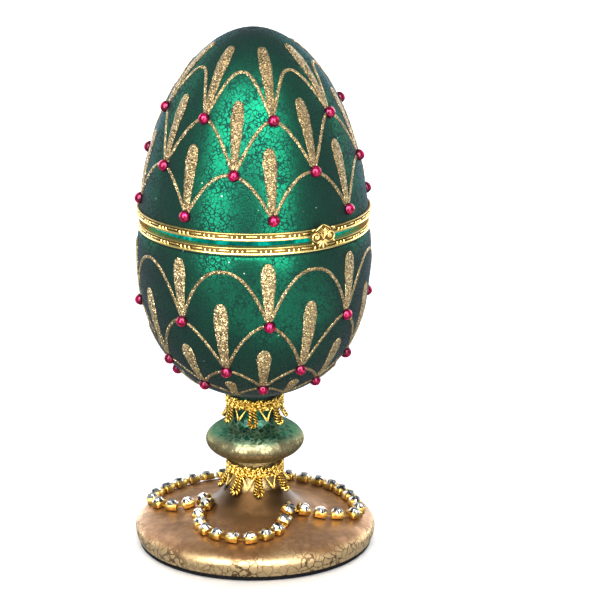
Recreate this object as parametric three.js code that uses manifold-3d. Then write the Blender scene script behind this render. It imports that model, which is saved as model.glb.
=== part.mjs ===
// Egg-shaped trinket box: a painted glass egg that opens at its waist on a back hinge, on a glass foot with a
// knop, dressed with gilt rims, glued cabochons, two braid collars and a chain of set stones.
// Millimetres, +Z up. The origin is the centre of the underside, the clasp faces -Y and the hinge +Y.
import * as THREE from 'three';
import { mergeVertices } from 'three/addons/utils/BufferGeometryUtils.js';
import Module from 'manifold-3d';

const wasm = await Module();
wasm.setup();

// ---- driving dimensions: heights are measured up from the underside ----
const SIDES = 32; // sides of every large turned piece
const CLEARANCE = 0.3; // left between pieces that are glued or soldered together
const WALL = 2; // thickness of the glass

const PAD = { radius: 39.7, thickness: 2 };
const FOOT = { radius: 41, edge: 5.2, underside: 3.4, shoulderRadius: 25.4, shoulder: 10.1, power: 2.39 };
const NECK = { radius: 8, footJoin: 25.2, bowlJoin: 53.2 };
const KNOP = { radius: 16.7, halfHeight: 7.3, middle: 36.4 };
// The two hollow rises to the neck, as [radius, height]: from the foot's top, and from the knop's.
const FLARE = [[20, 11.6], [16, 13.4], [13, 15.9], [10.6, 19], [8.8, 22], [NECK.radius, NECK.footJoin]];
const KNOP_RISE = [[10.4, 42.1], [8.8, 43.2], [NECK.radius, 45.2]];

const WAIST = 104; // height at which the egg is widest
const BOWL = { radius: 39.1, depth: 50.5, power: 2.34 };
const MOUTH = { radius: 37.8, shoulder: 6.8 }; // the bowl's turned-in lip, inside the lower rim
const LID = { radius: 38.85, rise: 74.2, power: 1.97, point: 0.03 }; // point: how much its top is drawn in

const RIM = { bandWall: 0.5, flangeWall: 0.6, flangeInner: 35.2 };
const LOWER_RIM = { radius: 38.6, bottom: 111.2, top: 113.8 };
const UPPER_RIM = { radius: 39.2, bottom: 116.1, top: 118.7 };

const HINGE = {
  width: 12, leaf: 0.6, radius: 1.15, bore: 0.75, pin: 0.6, head: 1, headDepth: 0.5, y: 40.9, sides: 8,
};
const HINGE_Z = (LOWER_RIM.top + UPPER_RIM.bottom) / 2;
const KNUCKLE_GAP = 0.2; // between the middle knuckle and the outer two
const EDGE = 0.2; // how far a leaf stays inside its rim's edges

const CLASP = { bottom: 112, top: 120.5, halfWidth: 4.7, plate: 0.9, relief: 0.45, scroll: 1.7 };
const CLASP_RIB = { halfWidth: 0.35, from: 0.7, to: 4.1, leans: [-44, -22, 0, 22, 44] };

const STONE = { radius: 2, rise: 2.1, sides: 6 };
const ROW_COUNT = 8; // cabochons in each row
// Each row's height and the bearing of its first cabochon from the clasp towards +X: glued by hand and uneven.
const LID_ROWS = [[122.6, 21], [136.9, 1], [153.4, 24]];
const BOWL_ROWS = [[87.1, 18.8], [69.6, -5.4], [62.2, 17.4]];

const COLLAR = { bandWall: 1.2, thickness: 1.3, shoulder: 0.9, lobe: 1.8, tip: 1, eye: 0.5, vee: 1.9 };
// Each collar's heights, how far its lobes lean out, and their bearings, which its maker spaced by eye.
const UPPER_COLLAR = {
  top: 52.9, band: 49.6, point: 45.2, hem: 43, flare: 2.2, lobes: [-94, -38, 19, 69, 120, 171, 220],
};
const LOWER_COLLAR = {
  top: 28.9, band: 25.5, point: 22.4, hem: 18.7, flare: 4, lobes: [-121, -70, -27, 30, 83, 134, 186],
};

const CUP = { side: 4.1, height: 2.1, stone: 2.3, crown: 0.9, pitch: 6, glue: 0.5 };
const BAR = { width: 1.5, lift: 0.4, height: 0.7 }; // the wire between two cups
// The chain's route over the foot: radius and bearing of the points it is laid through, closed into a ring
// that loops out at the left, the front and the right of the neck and passes behind it.
const CHAIN_ROUTE = [
  [35, 145.5], [36.5, 175.5], [37.2, 205.5], [36, 222.5], [29, 234.5], [20, 232.5], [15.4, 246.5],
  [22, 267.5], [28.5, 293.5], [30.3, 319.5], [26, 339], [18.6, 359.5], [15.6, 375], [22, 394.5],
  [32, 402.5], [35.2, 412.5], [34, 437.5], [33.5, 465.5],
];

const GLASS_GREEN = new THREE.MeshStandardMaterial({ color: 0x14695a, roughness: 0.3, metalness: 0.5 });
const GILT = new THREE.MeshStandardMaterial({ color: 0xd9a43a, roughness: 0.25, metalness: 1 });
const RUBY = new THREE.MeshStandardMaterial({ color: 0xa8124a, roughness: 0.1, metalness: 0 });
const FELT = new THREE.MeshStandardMaterial({ color: 0x17151a, roughness: 0.95, metalness: 0 });

const group = new THREE.Group();

// ---- helpers ----
const radians = THREE.MathUtils.degToRad;

function addPiece(name, geometry, material) {
  const mesh = new THREE.Mesh(geometry, material.clone());
  mesh.name = name;
  group.add(mesh);
  return mesh;
}

// A closed profile of [radius, height] turned about Z.
function turned(profile, sides = SIDES) {
  const points = profile.map(([radius, height]) => new THREE.Vector2(radius, height));
  return new THREE.LatheGeometry(points, sides).rotateX(Math.PI / 2);
}

function toSolid(geometry) {
  const bare = geometry.index ? geometry.clone() : mergeVertices(geometry.clone());
  bare.deleteAttribute('normal');
  bare.deleteAttribute('uv');
  const merged = mergeVertices(bare, 1e-4);
  return new wasm.Manifold(new wasm.Mesh({
    numProp: 3,
    vertProperties: new Float32Array(merged.attributes.position.array),
    triVerts: new Uint32Array(merged.index.array),
  }));
}

function toGeometry(solid) {
  const mesh = solid.getMesh();
  const geometry = new THREE.BufferGeometry();
  geometry.setAttribute('position', new THREE.BufferAttribute(new Float32Array(mesh.vertProperties), 3));
  geometry.setIndex(new THREE.BufferAttribute(new Uint32Array(mesh.triVerts), 1));
  return geometry;
}

function fuse(geometries) {
  return toGeometry(geometries.map(toSolid).reduce((whole, next) => whole.add(next)));
}

function boxBetween([x0, y0, z0], [x1, y1, z1]) {
  const box = new THREE.BoxGeometry(x1 - x0, y1 - y0, z1 - z0);
  return box.translate((x0 + x1) / 2, (y0 + y1) / 2, (z0 + z1) / 2);
}

// A flat outline of [across, up] points given a thickness, standing in the XZ plane and facing -Y.
function plate(outline, thickness, holes = []) {
  const shape = new THREE.Shape(outline.map(([x, z]) => new THREE.Vector2(x, z)));
  shape.holes = holes.map((hole) => new THREE.Path(hole.map(([x, z]) => new THREE.Vector2(x, z))));
  return new THREE.ExtrudeGeometry(shape, { depth: thickness, bevelEnabled: false }).rotateX(Math.PI / 2);
}

// Points of an arc or ellipse: angles in degrees from +X.
function arc(centre, radii, from, to, steps) {
  return Array.from({ length: steps + 1 }, (_, k) => {
    const angle = radians(from + ((to - from) * k) / steps);
    return [centre[0] + radii[0] * Math.cos(angle), centre[1] + radii[1] * Math.sin(angle)];
  });
}

// ---- profiles of the glass ----
// A quarter of a superellipse from its side (angle 0) to its end (angle 90).
function superPoint(radius, height, power, angle) {
  const a = radians(angle);
  return [radius * Math.cos(a) ** (2 / power), height * Math.sin(a) ** (2 / power)];
}

function bowlRadius(height) {
  const drop = Math.min(1, Math.abs(height - WAIST) / BOWL.depth);
  return BOWL.radius * (1 - drop ** BOWL.power) ** (1 / BOWL.power);
}

// The lid is a superellipse drawn in a little towards its top.
function lidShare(share) {
  return (1 - share ** LID.power) ** (1 / LID.power) * (1 - LID.point * share ** 8);
}

function lidRadius(height) {
  return LID.radius * lidShare(Math.min(1, (height - WAIST) / LID.rise));
}

function footProfile() {
  const edge = [0, 26, 48, 68, 90].map((angle) => {
    const [out, up] = superPoint(1, 1, FOOT.power, angle);
    return [
      FOOT.shoulderRadius + (FOOT.radius - FOOT.shoulderRadius) * out,
      FOOT.edge + (FOOT.shoulder - FOOT.edge) * up,
    ];
  });
  return [[0, PAD.thickness], [PAD.radius, PAD.thickness], [FOOT.radius - 0.3, FOOT.underside], ...edge];
}

function knopProfile() {
  const from = THREE.MathUtils.radToDeg(Math.acos(NECK.radius / KNOP.radius));
  const to = THREE.MathUtils.radToDeg(Math.acos((KNOP_RISE[0][0] + 1) / KNOP.radius));
  return [...arc([0, KNOP.middle], [KNOP.radius, KNOP.halfHeight], -from, to, 5), ...KNOP_RISE];
}

function bowlOutside() {
  return [78, 69, 58, 46, 33, 18].map((angle) => {
    const [radius, drop] = superPoint(BOWL.radius, BOWL.depth, BOWL.power, angle);
    return [radius, WAIST - drop];
  });
}

function bowlInside() {
  return [0, 22, 40, 58, 76].map((angle) => {
    const [radius, drop] = superPoint(BOWL.radius - WALL, BOWL.depth - WALL, BOWL.power, angle);
    return [radius, WAIST - drop];
  });
}

const mouthTop = LOWER_RIM.top - RIM.flangeWall - CLEARANCE;
const gobletProfile = [
  ...footProfile(),
  ...FLARE,
  ...knopProfile(),
  [NECK.radius, NECK.bowlJoin],
  ...bowlOutside(),
  ...arc([MOUTH.radius, WAIST], [BOWL.radius - MOUTH.radius, MOUTH.shoulder], 0, 90, 3),
  [MOUTH.radius, mouthTop],
  [MOUTH.radius - WALL, mouthTop],
  ...bowlInside(),
  [0, WAIST - BOWL.depth + WALL],
];

const lidEdge = UPPER_RIM.bottom + RIM.flangeWall + CLEARANCE;
function lidProfile() {
  const start = Math.asin((lidEdge - WAIST) / LID.rise);
  const shell = (radius, rise, steps) => Array.from({ length: steps }, (_, k) => {
    const share = Math.sin(start + ((Math.PI / 2 - start) * k) / steps);
    return [radius * lidShare(share), WAIST + rise * share];
  });
  const outside = shell(LID.radius, LID.rise, 10);
  const [, ...inside] = shell(LID.radius - WALL, LID.rise - WALL, 6);
  return [[0, WAIST + LID.rise - WALL], ...inside.reverse(), [outside[0][0] - WALL, lidEdge], ...outside,
    [0, WAIST + LID.rise]];
}

// ---- gilt rims: a band outside the glass and a flange over the glass's edge ----
function rim({ radius, bottom, top }, flangeUp) {
  const bandInner = radius - RIM.bandWall;
  const flange = flangeUp ? top - RIM.flangeWall : bottom + RIM.flangeWall;
  const section = flangeUp
    ? [[bandInner, bottom], [radius, bottom], [radius, top], [RIM.flangeInner, top],
      [RIM.flangeInner, flange], [bandInner, flange]]
    : [[RIM.flangeInner, bottom], [radius, bottom], [radius, top], [bandInner, top],
      [bandInner, flange], [RIM.flangeInner, flange]];
  return turned([...section, section[0]]);
}

// ---- cabochons: low domes standing on the glass ----
function cabochon(radiusAt, height, bearing) {
  const shoulder = [STONE.radius * 0.8, STONE.rise * 0.62];
  const dome = turned([[0, 0], [STONE.radius, 0], shoulder, [0, STONE.rise]], STONE.sides);
  const step = 0.5;
  const slope = (radiusAt(height + step) - radiusAt(height - step)) / (2 * step);
  const outward = new THREE.Vector3(0, -1, -slope).normalize();
  const foot = new THREE.Vector3(0, -radiusAt(height), height).addScaledVector(outward, CLEARANCE);
  dome.applyQuaternion(new THREE.Quaternion().setFromUnitVectors(new THREE.Vector3(0, 0, 1), outward));
  return dome.translate(foot.x, foot.y, foot.z).rotateZ(radians(bearing));
}

function addCabochons(name, radiusAt, rows) {
  rows.forEach(([height, firstBearing], row) => {
    for (let k = 0; k < ROW_COUNT; k += 1) {
      const bearing = firstBearing + (360 / ROW_COUNT) * k;
      addPiece(`${name}_${row + 1}_${k + 1}`, cabochon(radiusAt, height, bearing), RUBY);
    }
  });
}

// ---- hinge: three knuckles on a pin, with a leaf soldered to each rim ----
function knuckle(fromX, toX) {
  const barrel = new THREE.CylinderGeometry(HINGE.radius, HINGE.radius, toX - fromX, HINGE.sides);
  return barrel.rotateZ(Math.PI / 2).translate((fromX + toX) / 2, HINGE.y, HINGE_Z);
}

function pinBore() {
  const bore = new THREE.CylinderGeometry(HINGE.bore, HINGE.bore, HINGE.width * 2, HINGE.sides);
  return bore.rotateZ(Math.PI / 2).translate(0, HINGE.y, HINGE_Z);
}

const kneeX = HINGE.width / 6; // half the length of the middle knuckle
const leafOuter = UPPER_RIM.radius + CLEARANCE + HINGE.leaf;

function lowerLeaf() {
  const halfWidth = HINGE.width / 2;
  const inner = LOWER_RIM.radius + CLEARANCE;
  const foot = [-halfWidth, inner, LOWER_RIM.bottom + EDGE];
  const parts = [boxBetween(foot, [halfWidth, leafOuter, LOWER_RIM.top - EDGE])];
  for (const side of [-1, 1]) {
    const near = side * (kneeX + KNUCKLE_GAP);
    const [x0, x1] = [Math.min(near, side * halfWidth), Math.max(near, side * halfWidth)];
    const low = [x0, leafOuter - HINGE.leaf, LOWER_RIM.top - HINGE.leaf];
    parts.push(boxBetween(low, [x1, HINGE.y - EDGE, HINGE_Z - EDGE / 2]));
    parts.push(knuckle(x0, x1));
  }
  return toGeometry(toSolid(fuse(parts)).subtract(toSolid(pinBore())));
}

function upperLeaf() {
  const halfWidth = HINGE.width / 2;
  const inner = UPPER_RIM.radius + CLEARANCE;
  const parts = [
    boxBetween([-halfWidth, inner, UPPER_RIM.bottom + EDGE], [halfWidth, leafOuter, UPPER_RIM.top - EDGE]),
    boxBetween([-kneeX, inner, HINGE_Z + EDGE / 2], [kneeX, HINGE.y - EDGE, UPPER_RIM.bottom + HINGE.leaf]),
    knuckle(-kneeX, kneeX),
  ];
  return toGeometry(toSolid(fuse(parts)).subtract(toSolid(pinBore())));
}

function hingePin() {
  const half = HINGE.width / 2 + KNUCKLE_GAP;
  const end = half + HINGE.headDepth;
  const profile = [[0, -end], [HINGE.head, -end], [HINGE.head, -half], [HINGE.pin, -half],
    [HINGE.pin, half], [HINGE.head, half], [HINGE.head, end], [0, end]];
  return turned(profile, HINGE.sides).rotateY(Math.PI / 2).translate(0, HINGE.y, HINGE_Z);
}

// ---- clasp: a ribbed fan over two scrolls, on the upper rim, its tongue lapping the lower one ----
function claspOutline() {
  const { bottom, top, halfWidth } = CLASP;
  const side = [[2.4, bottom + 0.9], [halfWidth - 1, UPPER_RIM.bottom - 0.4], [2.9, top - 2.4]];
  const mirrored = side.map(([x, z]) => [-x, z]).reverse();
  return [[0, bottom], ...side, [0, top], ...mirrored];
}

function clasp() {
  const back = -(UPPER_RIM.radius + CLEARANCE);
  const middle = UPPER_RIM.bottom;
  const thick = CLASP.plate + CLASP.relief;
  const parts = [plate(claspOutline(), CLASP.plate).translate(0, back, 0)];
  for (const side of [-1, 1]) {
    const scroll = new THREE.CylinderGeometry(CLASP.scroll, CLASP.scroll - 0.3, thick, 8);
    parts.push(scroll.translate(side * (CLASP.halfWidth - CLASP.scroll + 0.1), back - thick / 2, middle));
  }
  const { halfWidth, from, to, leans } = CLASP_RIB;
  for (const lean of leans) {
    const rib = boxBetween([-halfWidth, back - thick, from], [halfWidth, back - CLASP.plate / 2, to]);
    parts.push(rib.rotateY(radians(lean)).translate(0, 0, middle));
  }
  return fuse(parts);
}

// ---- braid collars: a band round the neck, with hanging lobes and points between them ----
function collar({ top, band, point, hem, flare, lobes }) {
  const inner = NECK.radius + CLEARANCE;
  const outer = inner + COLLAR.bandWall;
  const section = [[inner, band], [outer, band], [outer, top], [inner, top], [inner, band]];
  const parts = [turned(section, lobes.length * 3)];
  const lean = Math.atan2(flare, band - hem);
  const reach = Math.hypot(flare, band - hem);
  const widest = -reach * 0.7;
  const hold = 0.5; // how far a lobe or point runs up behind the band's lower edge
  const mirror = (points) => [...points, ...points.map(([x, z]) => [-x, z]).reverse()];
  const lobe = mirror([[-COLLAR.shoulder, hold], [-COLLAR.lobe, widest], [-COLLAR.tip, -reach]]);
  const eye = [[-COLLAR.eye, widest], [0, -reach * 0.45], [COLLAR.eye, widest], [0, -reach * 0.85]];
  const vee = [[-COLLAR.vee, hold], [0, point - band], [COLLAR.vee, hold]];
  const hung = (geometry, turn) => geometry.rotateX(-lean).translate(0, -inner - 0.05, band).rotateZ(turn);
  lobes.forEach((bearing, k) => {
    const next = lobes[k + 1] ?? lobes[0] + 360;
    parts.push(hung(plate(lobe, COLLAR.thickness, [eye]), radians(bearing)));
    parts.push(hung(plate(vee, COLLAR.thickness / 2), radians((bearing + next) / 2)));
  });
  return fuse(parts);
}

// ---- chain: square cups with a domed stone each, joined by short bars, laid on the foot ----
const topOfFoot = [...footProfile().slice(3), ...FLARE]; // from the widest point of its edge inwards

function footHeight(radius) {
  const k = topOfFoot.findIndex((point) => point[0] <= radius);
  const [outer, inner] = [topOfFoot[k - 1], topOfFoot[k]];
  const share = (outer[0] - radius) / (outer[0] - inner[0]);
  return outer[1] + share * (inner[1] - outer[1]);
}

function onFoot(x, y) {
  return new THREE.Vector3(x, y, footHeight(Math.hypot(x, y)));
}

function footNormal(x, y) {
  const span = CUP.side / 2;
  const radius = Math.hypot(x, y);
  const rise = (footHeight(radius - span) - footHeight(radius + span)) / (2 * span);
  return new THREE.Vector3((x / radius) * rise, (y / radius) * rise, 1).normalize();
}

// A square cup with the stone standing out of its mouth.
function setStone() {
  const corner = CUP.side / Math.SQRT2;
  const profile = [[0, 0], [corner, 0], [corner, CUP.height], [CUP.stone, CUP.height],
    [0, CUP.height + CUP.crown]];
  return turned(profile, 4).rotateZ(Math.PI / 4);
}

function stoneChain() {
  const knots = CHAIN_ROUTE.map(([radius, bearing]) => {
    const angle = radians(bearing);
    return new THREE.Vector3(radius * Math.sin(angle), -radius * Math.cos(angle), 0);
  });
  const route = new THREE.CatmullRomCurve3(knots, true, 'catmullrom', 0.5);
  route.arcLengthDivisions = 800;
  const count = Math.round(route.getLength() / CUP.pitch);
  const places = Array.from({ length: count }, (_, k) => {
    const point = route.getPointAt(k / count);
    const along = route.getTangentAt(k / count);
    const up = footNormal(point.x, point.y);
    const seat = onFoot(point.x, point.y).addScaledVector(up, CUP.glue);
    return { seat, up, along };
  });
  const parts = [];
  places.forEach(({ seat, up, along }, k) => {
    const side = new THREE.Vector3().crossVectors(up, along).normalize();
    const ahead = new THREE.Vector3().crossVectors(side, up);
    const frame = new THREE.Matrix4().makeBasis(ahead, side, up).setPosition(seat);
    parts.push(setStone().applyMatrix4(frame));
    parts.push(bar(places[k], places[(k + 1) % places.length]));
  });
  return fuse(parts);
}

// A three-sided link from the middle of one cup to the middle of the next.
function bar(from, to) {
  const start = from.seat.clone().addScaledVector(from.up, BAR.lift);
  const end = to.seat.clone().addScaledVector(to.up, BAR.lift);
  const ahead = end.clone().sub(start);
  const length = ahead.length();
  ahead.normalize();
  const side = new THREE.Vector3().crossVectors(from.up.clone().add(to.up), ahead).normalize();
  const frame = new THREE.Matrix4().makeBasis(side, new THREE.Vector3().crossVectors(ahead, side), ahead);
  const section = new THREE.Shape([[-BAR.width / 2, 0], [BAR.width / 2, 0], [0, BAR.height]]
    .map(([x, y]) => new THREE.Vector2(x, y)));
  const link = new THREE.ExtrudeGeometry(section, { depth: length, bevelEnabled: false });
  return link.applyMatrix4(frame.setPosition(start));
}

// ---- the pieces ----
const padProfile = [[0, 0], [PAD.radius, 0], [PAD.radius, PAD.thickness], [0, PAD.thickness]];
addPiece('felt_pad', turned(padProfile), FELT);
addPiece('goblet', turned(gobletProfile), GLASS_GREEN);
addPiece('lid_glass', turned(lidProfile()), GLASS_GREEN);
addPiece('lower_rim', rim(LOWER_RIM, true), GILT);
addPiece('upper_rim', rim(UPPER_RIM, false), GILT);
addPiece('hinge_lower_leaf', lowerLeaf(), GILT);
addPiece('hinge_upper_leaf', upperLeaf(), GILT);
addPiece('hinge_pin', hingePin(), GILT);
addPiece('clasp', clasp(), GILT);
addPiece('upper_collar', collar(UPPER_COLLAR), GILT);
addPiece('lower_collar', collar(LOWER_COLLAR), GILT);
addPiece('stone_chain', stoneChain(), GILT);
addCabochons('lid_cabochon', lidRadius, LID_ROWS);
addCabochons('bowl_cabochon', bowlRadius, BOWL_ROWS);

export default group;
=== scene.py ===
"""The looks of a footed glass egg box: lacquered crackle glass, glitter tracery, stones and gilt fittings."""

import math
import random

import bpy
import numpy as np
from mathutils import Matrix, Vector


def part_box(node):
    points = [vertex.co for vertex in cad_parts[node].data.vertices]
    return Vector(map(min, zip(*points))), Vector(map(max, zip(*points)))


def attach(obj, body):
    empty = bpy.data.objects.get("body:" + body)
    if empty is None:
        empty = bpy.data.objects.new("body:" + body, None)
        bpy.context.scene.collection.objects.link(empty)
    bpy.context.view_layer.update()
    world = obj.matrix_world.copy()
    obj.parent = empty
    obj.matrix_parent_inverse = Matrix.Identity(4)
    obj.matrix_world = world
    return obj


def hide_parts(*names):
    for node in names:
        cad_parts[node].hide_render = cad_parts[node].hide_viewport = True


bl_info = {
    "name": "Egg Trinket Box",
    "version": (1, 0, 0),
    "blender": (4, 5, 0),
    "location": "3D View > Sidebar > Egg Box",
    "description": "Dresses the frame of a footed egg box in glass, glitter, stones and gilding",
    "category": "Object",
}

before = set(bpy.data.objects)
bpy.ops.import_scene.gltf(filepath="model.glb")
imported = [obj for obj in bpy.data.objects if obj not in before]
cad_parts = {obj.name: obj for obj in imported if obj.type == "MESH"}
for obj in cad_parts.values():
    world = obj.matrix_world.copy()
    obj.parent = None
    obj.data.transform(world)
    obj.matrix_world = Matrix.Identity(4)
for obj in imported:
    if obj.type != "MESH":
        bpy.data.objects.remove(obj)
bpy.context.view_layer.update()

MM = 0.001
TAU = 2 * math.pi
ROWS = 3
PER_ROW = 8
PITCH = TAU / PER_ROW
STONE_RADIUS, STONE_RISE, STONE_SEAT = 2 * MM, 2.1 * MM, 0.3 * MM
STONE_STAND = STONE_SEAT + STONE_RISE / 2


# ---- the box's own measures, some of them taken from the frame ----


def span(node):
    """Half width, lowest and highest height of a node, in metres."""
    low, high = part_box(node)
    return (high.x - low.x) / 2, low.z, high.z


def in_mm(points):
    """Points whose two measures are given in millimetres."""
    return [(first * MM, second * MM) for first, second in points]


FOOT_RADIUS, FOOT_BOTTOM, MOUTH_TOP = span("goblet")
PAD_RADIUS, _, PAD_TOP = span("felt_pad")
_, LID_EDGE, LID_TOP = span("lid_glass")

WAIST = 104 * MM
WALL = 2 * MM
BOWL_RADIUS, BOWL_DEPTH, BOWL_POWER = 39.1 * MM, 50.5 * MM, 2.34
LID_RADIUS, LID_RISE, LID_POWER, LID_POINT = 38.85 * MM, LID_TOP - WAIST, 1.97, 0.03
MOUTH_RADIUS, MOUTH_SHOULDER = 37.8 * MM, 6.8 * MM
NECK_RADIUS, NECK_TOP = 8 * MM, 53.2 * MM
KNOP_RADIUS, KNOP_HALF, KNOP_MIDDLE = 16.7 * MM, 7.3 * MM, 36.4 * MM
# Radius and height up the flare from the foot's shoulder to its neck, and from the knop to the egg's neck.
FLARE = in_mm([(25.4, 10.1), (20, 11.6), (16, 13.4), (13, 15.9), (10.6, 19), (8.8, 22), (8, 25.2)])
KNOP_RISE = in_mm([(10.4, 42.1), (8.8, 43.2), (8, 45.2)])
FOOT_EDGE, FOOT_POWER, FOOT_LIP = 5.2 * MM, 2.39, 0.45 * MM
FOOT_SHOULDER_RADIUS, FOOT_SHOULDER = FLARE[0]
# The colours of foot, knop and egg meet under the braid collars, at these heights.
FOOT_TO_KNOP, KNOP_TO_EGG = 28.5 * MM, 46 * MM
# The heights over which the foot turns from old gold to copper, to brown, to its painted shade under the
# collar and to pale gold.
EDGE_FADE, FLARE_FADE = (6.4 * MM, 8.8 * MM), (10.8 * MM, 13.5 * MM)
PAINTED_SHADE_FADE, NECK_FADE = (12.5 * MM, 16.5 * MM), (19.8 * MM, 21.8 * MM)


# ---- lines and paths ----


def shares(count):
    """Even shares from 0 to 1, both ends included."""
    return [k / count for k in range(count + 1)]


def super_quarter(count, power):
    """A quarter of a superellipse of unit size, from its side to its end."""
    for share in shares(count):
        angle = math.pi / 2 * share
        yield max(0, math.cos(angle)) ** (2 / power), math.sin(angle) ** (2 / power)


def arc(centre, size, start, end, count):
    """An ellipse's arc, from its centre, its two half sizes and its first and last angle."""
    for share in shares(count):
        angle = start + (end - start) * share
        yield centre[0] + size[0] * math.cos(angle), centre[1] + size[1] * math.sin(angle)


def hermite(p0, p1, p2, p3, t):
    """A point between p1 and p2 on a uniform Catmull-Rom curve."""
    h1, h2 = 2 * t**3 - 3 * t**2 + 1, 3 * t**2 - 2 * t**3
    h3, h4 = t**3 - 2 * t**2 + t, t**3 - t**2
    return tuple(h1 * b + h2 * c + h3 * (c - a) / 2 + h4 * (d - b) / 2
                 for a, b, c, d in zip(p0, p1, p2, p3))


def through(points, steps):
    """A smooth line through the points, ends included."""
    ghosts = [points[0], *points, points[-1]]
    line = [points[0]]
    for around in zip(ghosts, ghosts[1:], ghosts[2:], ghosts[3:]):
        line += [hermite(*around, share) for share in shares(steps)[1:]]
    return line


def run_along(line):
    """How far along a line each of its points is."""
    return np.concatenate([[0], np.cumsum(np.linalg.norm(np.diff(line, axis=0), axis=1))])


def crossways(centres, outward):
    """The unit direction across a path at each of its points, square to the way out."""
    across = np.cross(np.gradient(centres, axis=0), outward)
    return across / np.linalg.norm(across, axis=1)[:, None]


def parted(path):
    """A path of (point, way out) pairs as an array of points and an array of directions."""
    return np.array([point for point, _ in path]), np.array([outward for _, outward in path])


def from_axis(co):
    return math.hypot(co.x, co.y)


def bowl_radius(height):
    drop = min(1, abs(height - WAIST) / BOWL_DEPTH)
    return BOWL_RADIUS * (1 - drop**BOWL_POWER) ** (1 / BOWL_POWER)


def lid_share(share):
    """The lid's radius at a share of its rise, as a share of its widest: an oval with a slight point."""
    return max(0, 1 - share**LID_POWER) ** (1 / LID_POWER) * (1 - LID_POINT * share**8)


def lid_radius(height):
    return LID_RADIUS * lid_share(min(1, (height - WAIST) / LID_RISE))


# ---- the pattern: arches that spring from stone to stone, and a drop above each stone ----


def round_from(first):
    """The bearings of a row whose first place is at that bearing, all from the clasp."""
    return [first + PITCH * k for k in range(PER_ROW)]


def arch(foot, bearing, apex, power):
    """Bearings and heights along an arch whose middle is at bearing; a low power makes it pointed."""
    for share in shares(60):
        across = 2 * share - 1
        yield bearing + PITCH / 2 * across, apex - (apex - foot) * abs(across) ** power


def arches(rows, tops, powers):
    """For each row of stones, the arches from each stone to the next."""
    return [list(arch(height, bearing + PITCH / 2, top, power))
            for (height, first), top, power in zip(rows, tops, powers) for bearing in round_from(first)]


def drops(rows, sizes):
    """Bearing, foot, top and width of the drop over each stone, from the tops and widths of each row's."""
    stone = 1.2 * MM
    return [(bearing, height + stone, top, width)
            for (height, first), (top, width) in zip(rows, in_mm(sizes)) for bearing in round_from(first)]


def lid_pattern(rows, settings):
    """The lid's arches, each as high as the next row of stones, and its drops."""
    tops = [rows[1][0], rows[2][0], settings.lid_apex]
    return arches(rows, tops, (2.1, 1.9, 2.4)), drops(rows, ((145.2, 4.7), (159.2, 4.4), (174, 4.2)))


def bowl_pattern(rows, settings):
    """The bowl's arches, each as high as the stones above, and its drops, with a small row at the neck."""
    neck_row = (58.3 * MM, rows[1][1])
    tops = [settings.bowl_apex, *[height for height, _ in rows]]
    lines = arches([*rows, neck_row], tops, (2.3, 1.75, 1.6, 1.6))
    small = [(bearing, 59 * MM, 65.4 * MM, 4 * MM) for bearing in round_from(neck_row[1])]
    return lines, drops(rows, ((108.7, 5), (95, 5.1), (78.6, 4.8))) + small


class Half:
    """One half of the egg: the body it rides on, the line of its glass, its stones and its pattern."""

    def __init__(self, name, body, radius_at, layout):
        self.name = name
        self.body = body
        self.radius_at = radius_at
        self.layout = layout

    def on_glass(self, bearing, height, lift=0.0):
        """The point on the glass at a bearing from the clasp and a height, and the way out there."""
        step = 0.2 * MM
        slope = (self.radius_at(height + step) - self.radius_at(height - step)) / (2 * step)
        outward = Vector((math.sin(bearing), -math.cos(bearing), -slope)).normalized()
        radius = self.radius_at(height)
        point = Vector((radius * math.sin(bearing), -radius * math.cos(bearing), height))
        return point + outward * lift, outward

    def stone_node(self, row, k):
        return f"{self.name}_cabochon_{row}_{k}"

    def stone_spot(self, row, k):
        """Bearing and height of the spot on the glass that a cabochon's base is glued to."""
        low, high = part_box(self.stone_node(row, k))
        middle = (low + high) / 2
        bearing = math.atan2(middle.x, -middle.y)
        height = middle.z
        for _ in range(6):
            _, outward = self.on_glass(bearing, height)
            height = middle.z - outward.z * STONE_STAND
        return bearing, height

    def pattern(self, settings):
        """The lines of the arches and the drops, from the height and first bearing of each row of stones."""
        rows = [self.stone_spot(row + 1, 1)[::-1] for row in range(ROWS)]
        return self.layout(rows, settings)


LID = Half("lid", "lid", lid_radius, lid_pattern)
BOWL = Half("bowl", "stand", bowl_radius, bowl_pattern)


# ---- settings ----


def colour_setting(name, description, default):
    return bpy.props.FloatVectorProperty(
        name=name, description=description, subtype="COLOR", size=3, min=0, max=1, default=default)


def length_setting(name, description, default):
    return bpy.props.FloatProperty(name=name, description=description, unit="LENGTH", default=default)


class GlassSettings(bpy.types.PropertyGroup):
    green: colour_setting("Green", "Lacquer of the egg", (0.001, 0.074, 0.036))
    deep_green: colour_setting("Deep green", "Clouds in the lacquer of the egg", (0.001, 0.026, 0.018))
    copper: colour_setting("Copper", "Top of the foot", (0.36, 0.18, 0.068))
    old_gold: colour_setting("Old gold", "Edge of the foot", (0.60, 0.41, 0.20))
    inside: colour_setting("Inside", "Bare glass of the inside", (0.0, 0.42, 0.32))
    crackle: length_setting("Crackle", "Width of one cell of the crackle", 1.4 * MM)


class TracerySettings(bpy.types.PropertyGroup):
    line: length_setting("Line", "Width of the glitter lines", 1.15 * MM)
    coat: length_setting("Coat", "Height of the glitter over the glass", 0.34 * MM)
    lid_apex: length_setting("Lid apex", "Height of the lid's top arches", 167.3 * MM)
    bowl_apex: length_setting("Bowl apex", "Height of the bowl's top arches", 105.6 * MM)


class GiltSettings(bpy.types.PropertyGroup):
    gold: colour_setting("Gilding", "Stamped and polished gilding", (0.98, 0.75, 0.30))
    braid: colour_setting("Braid", "Gilt thread of the collars", (0.50, 0.31, 0.045))
    strand: length_setting("Strand", "Radius of one strand of the braid", 0.49 * MM)


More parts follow.
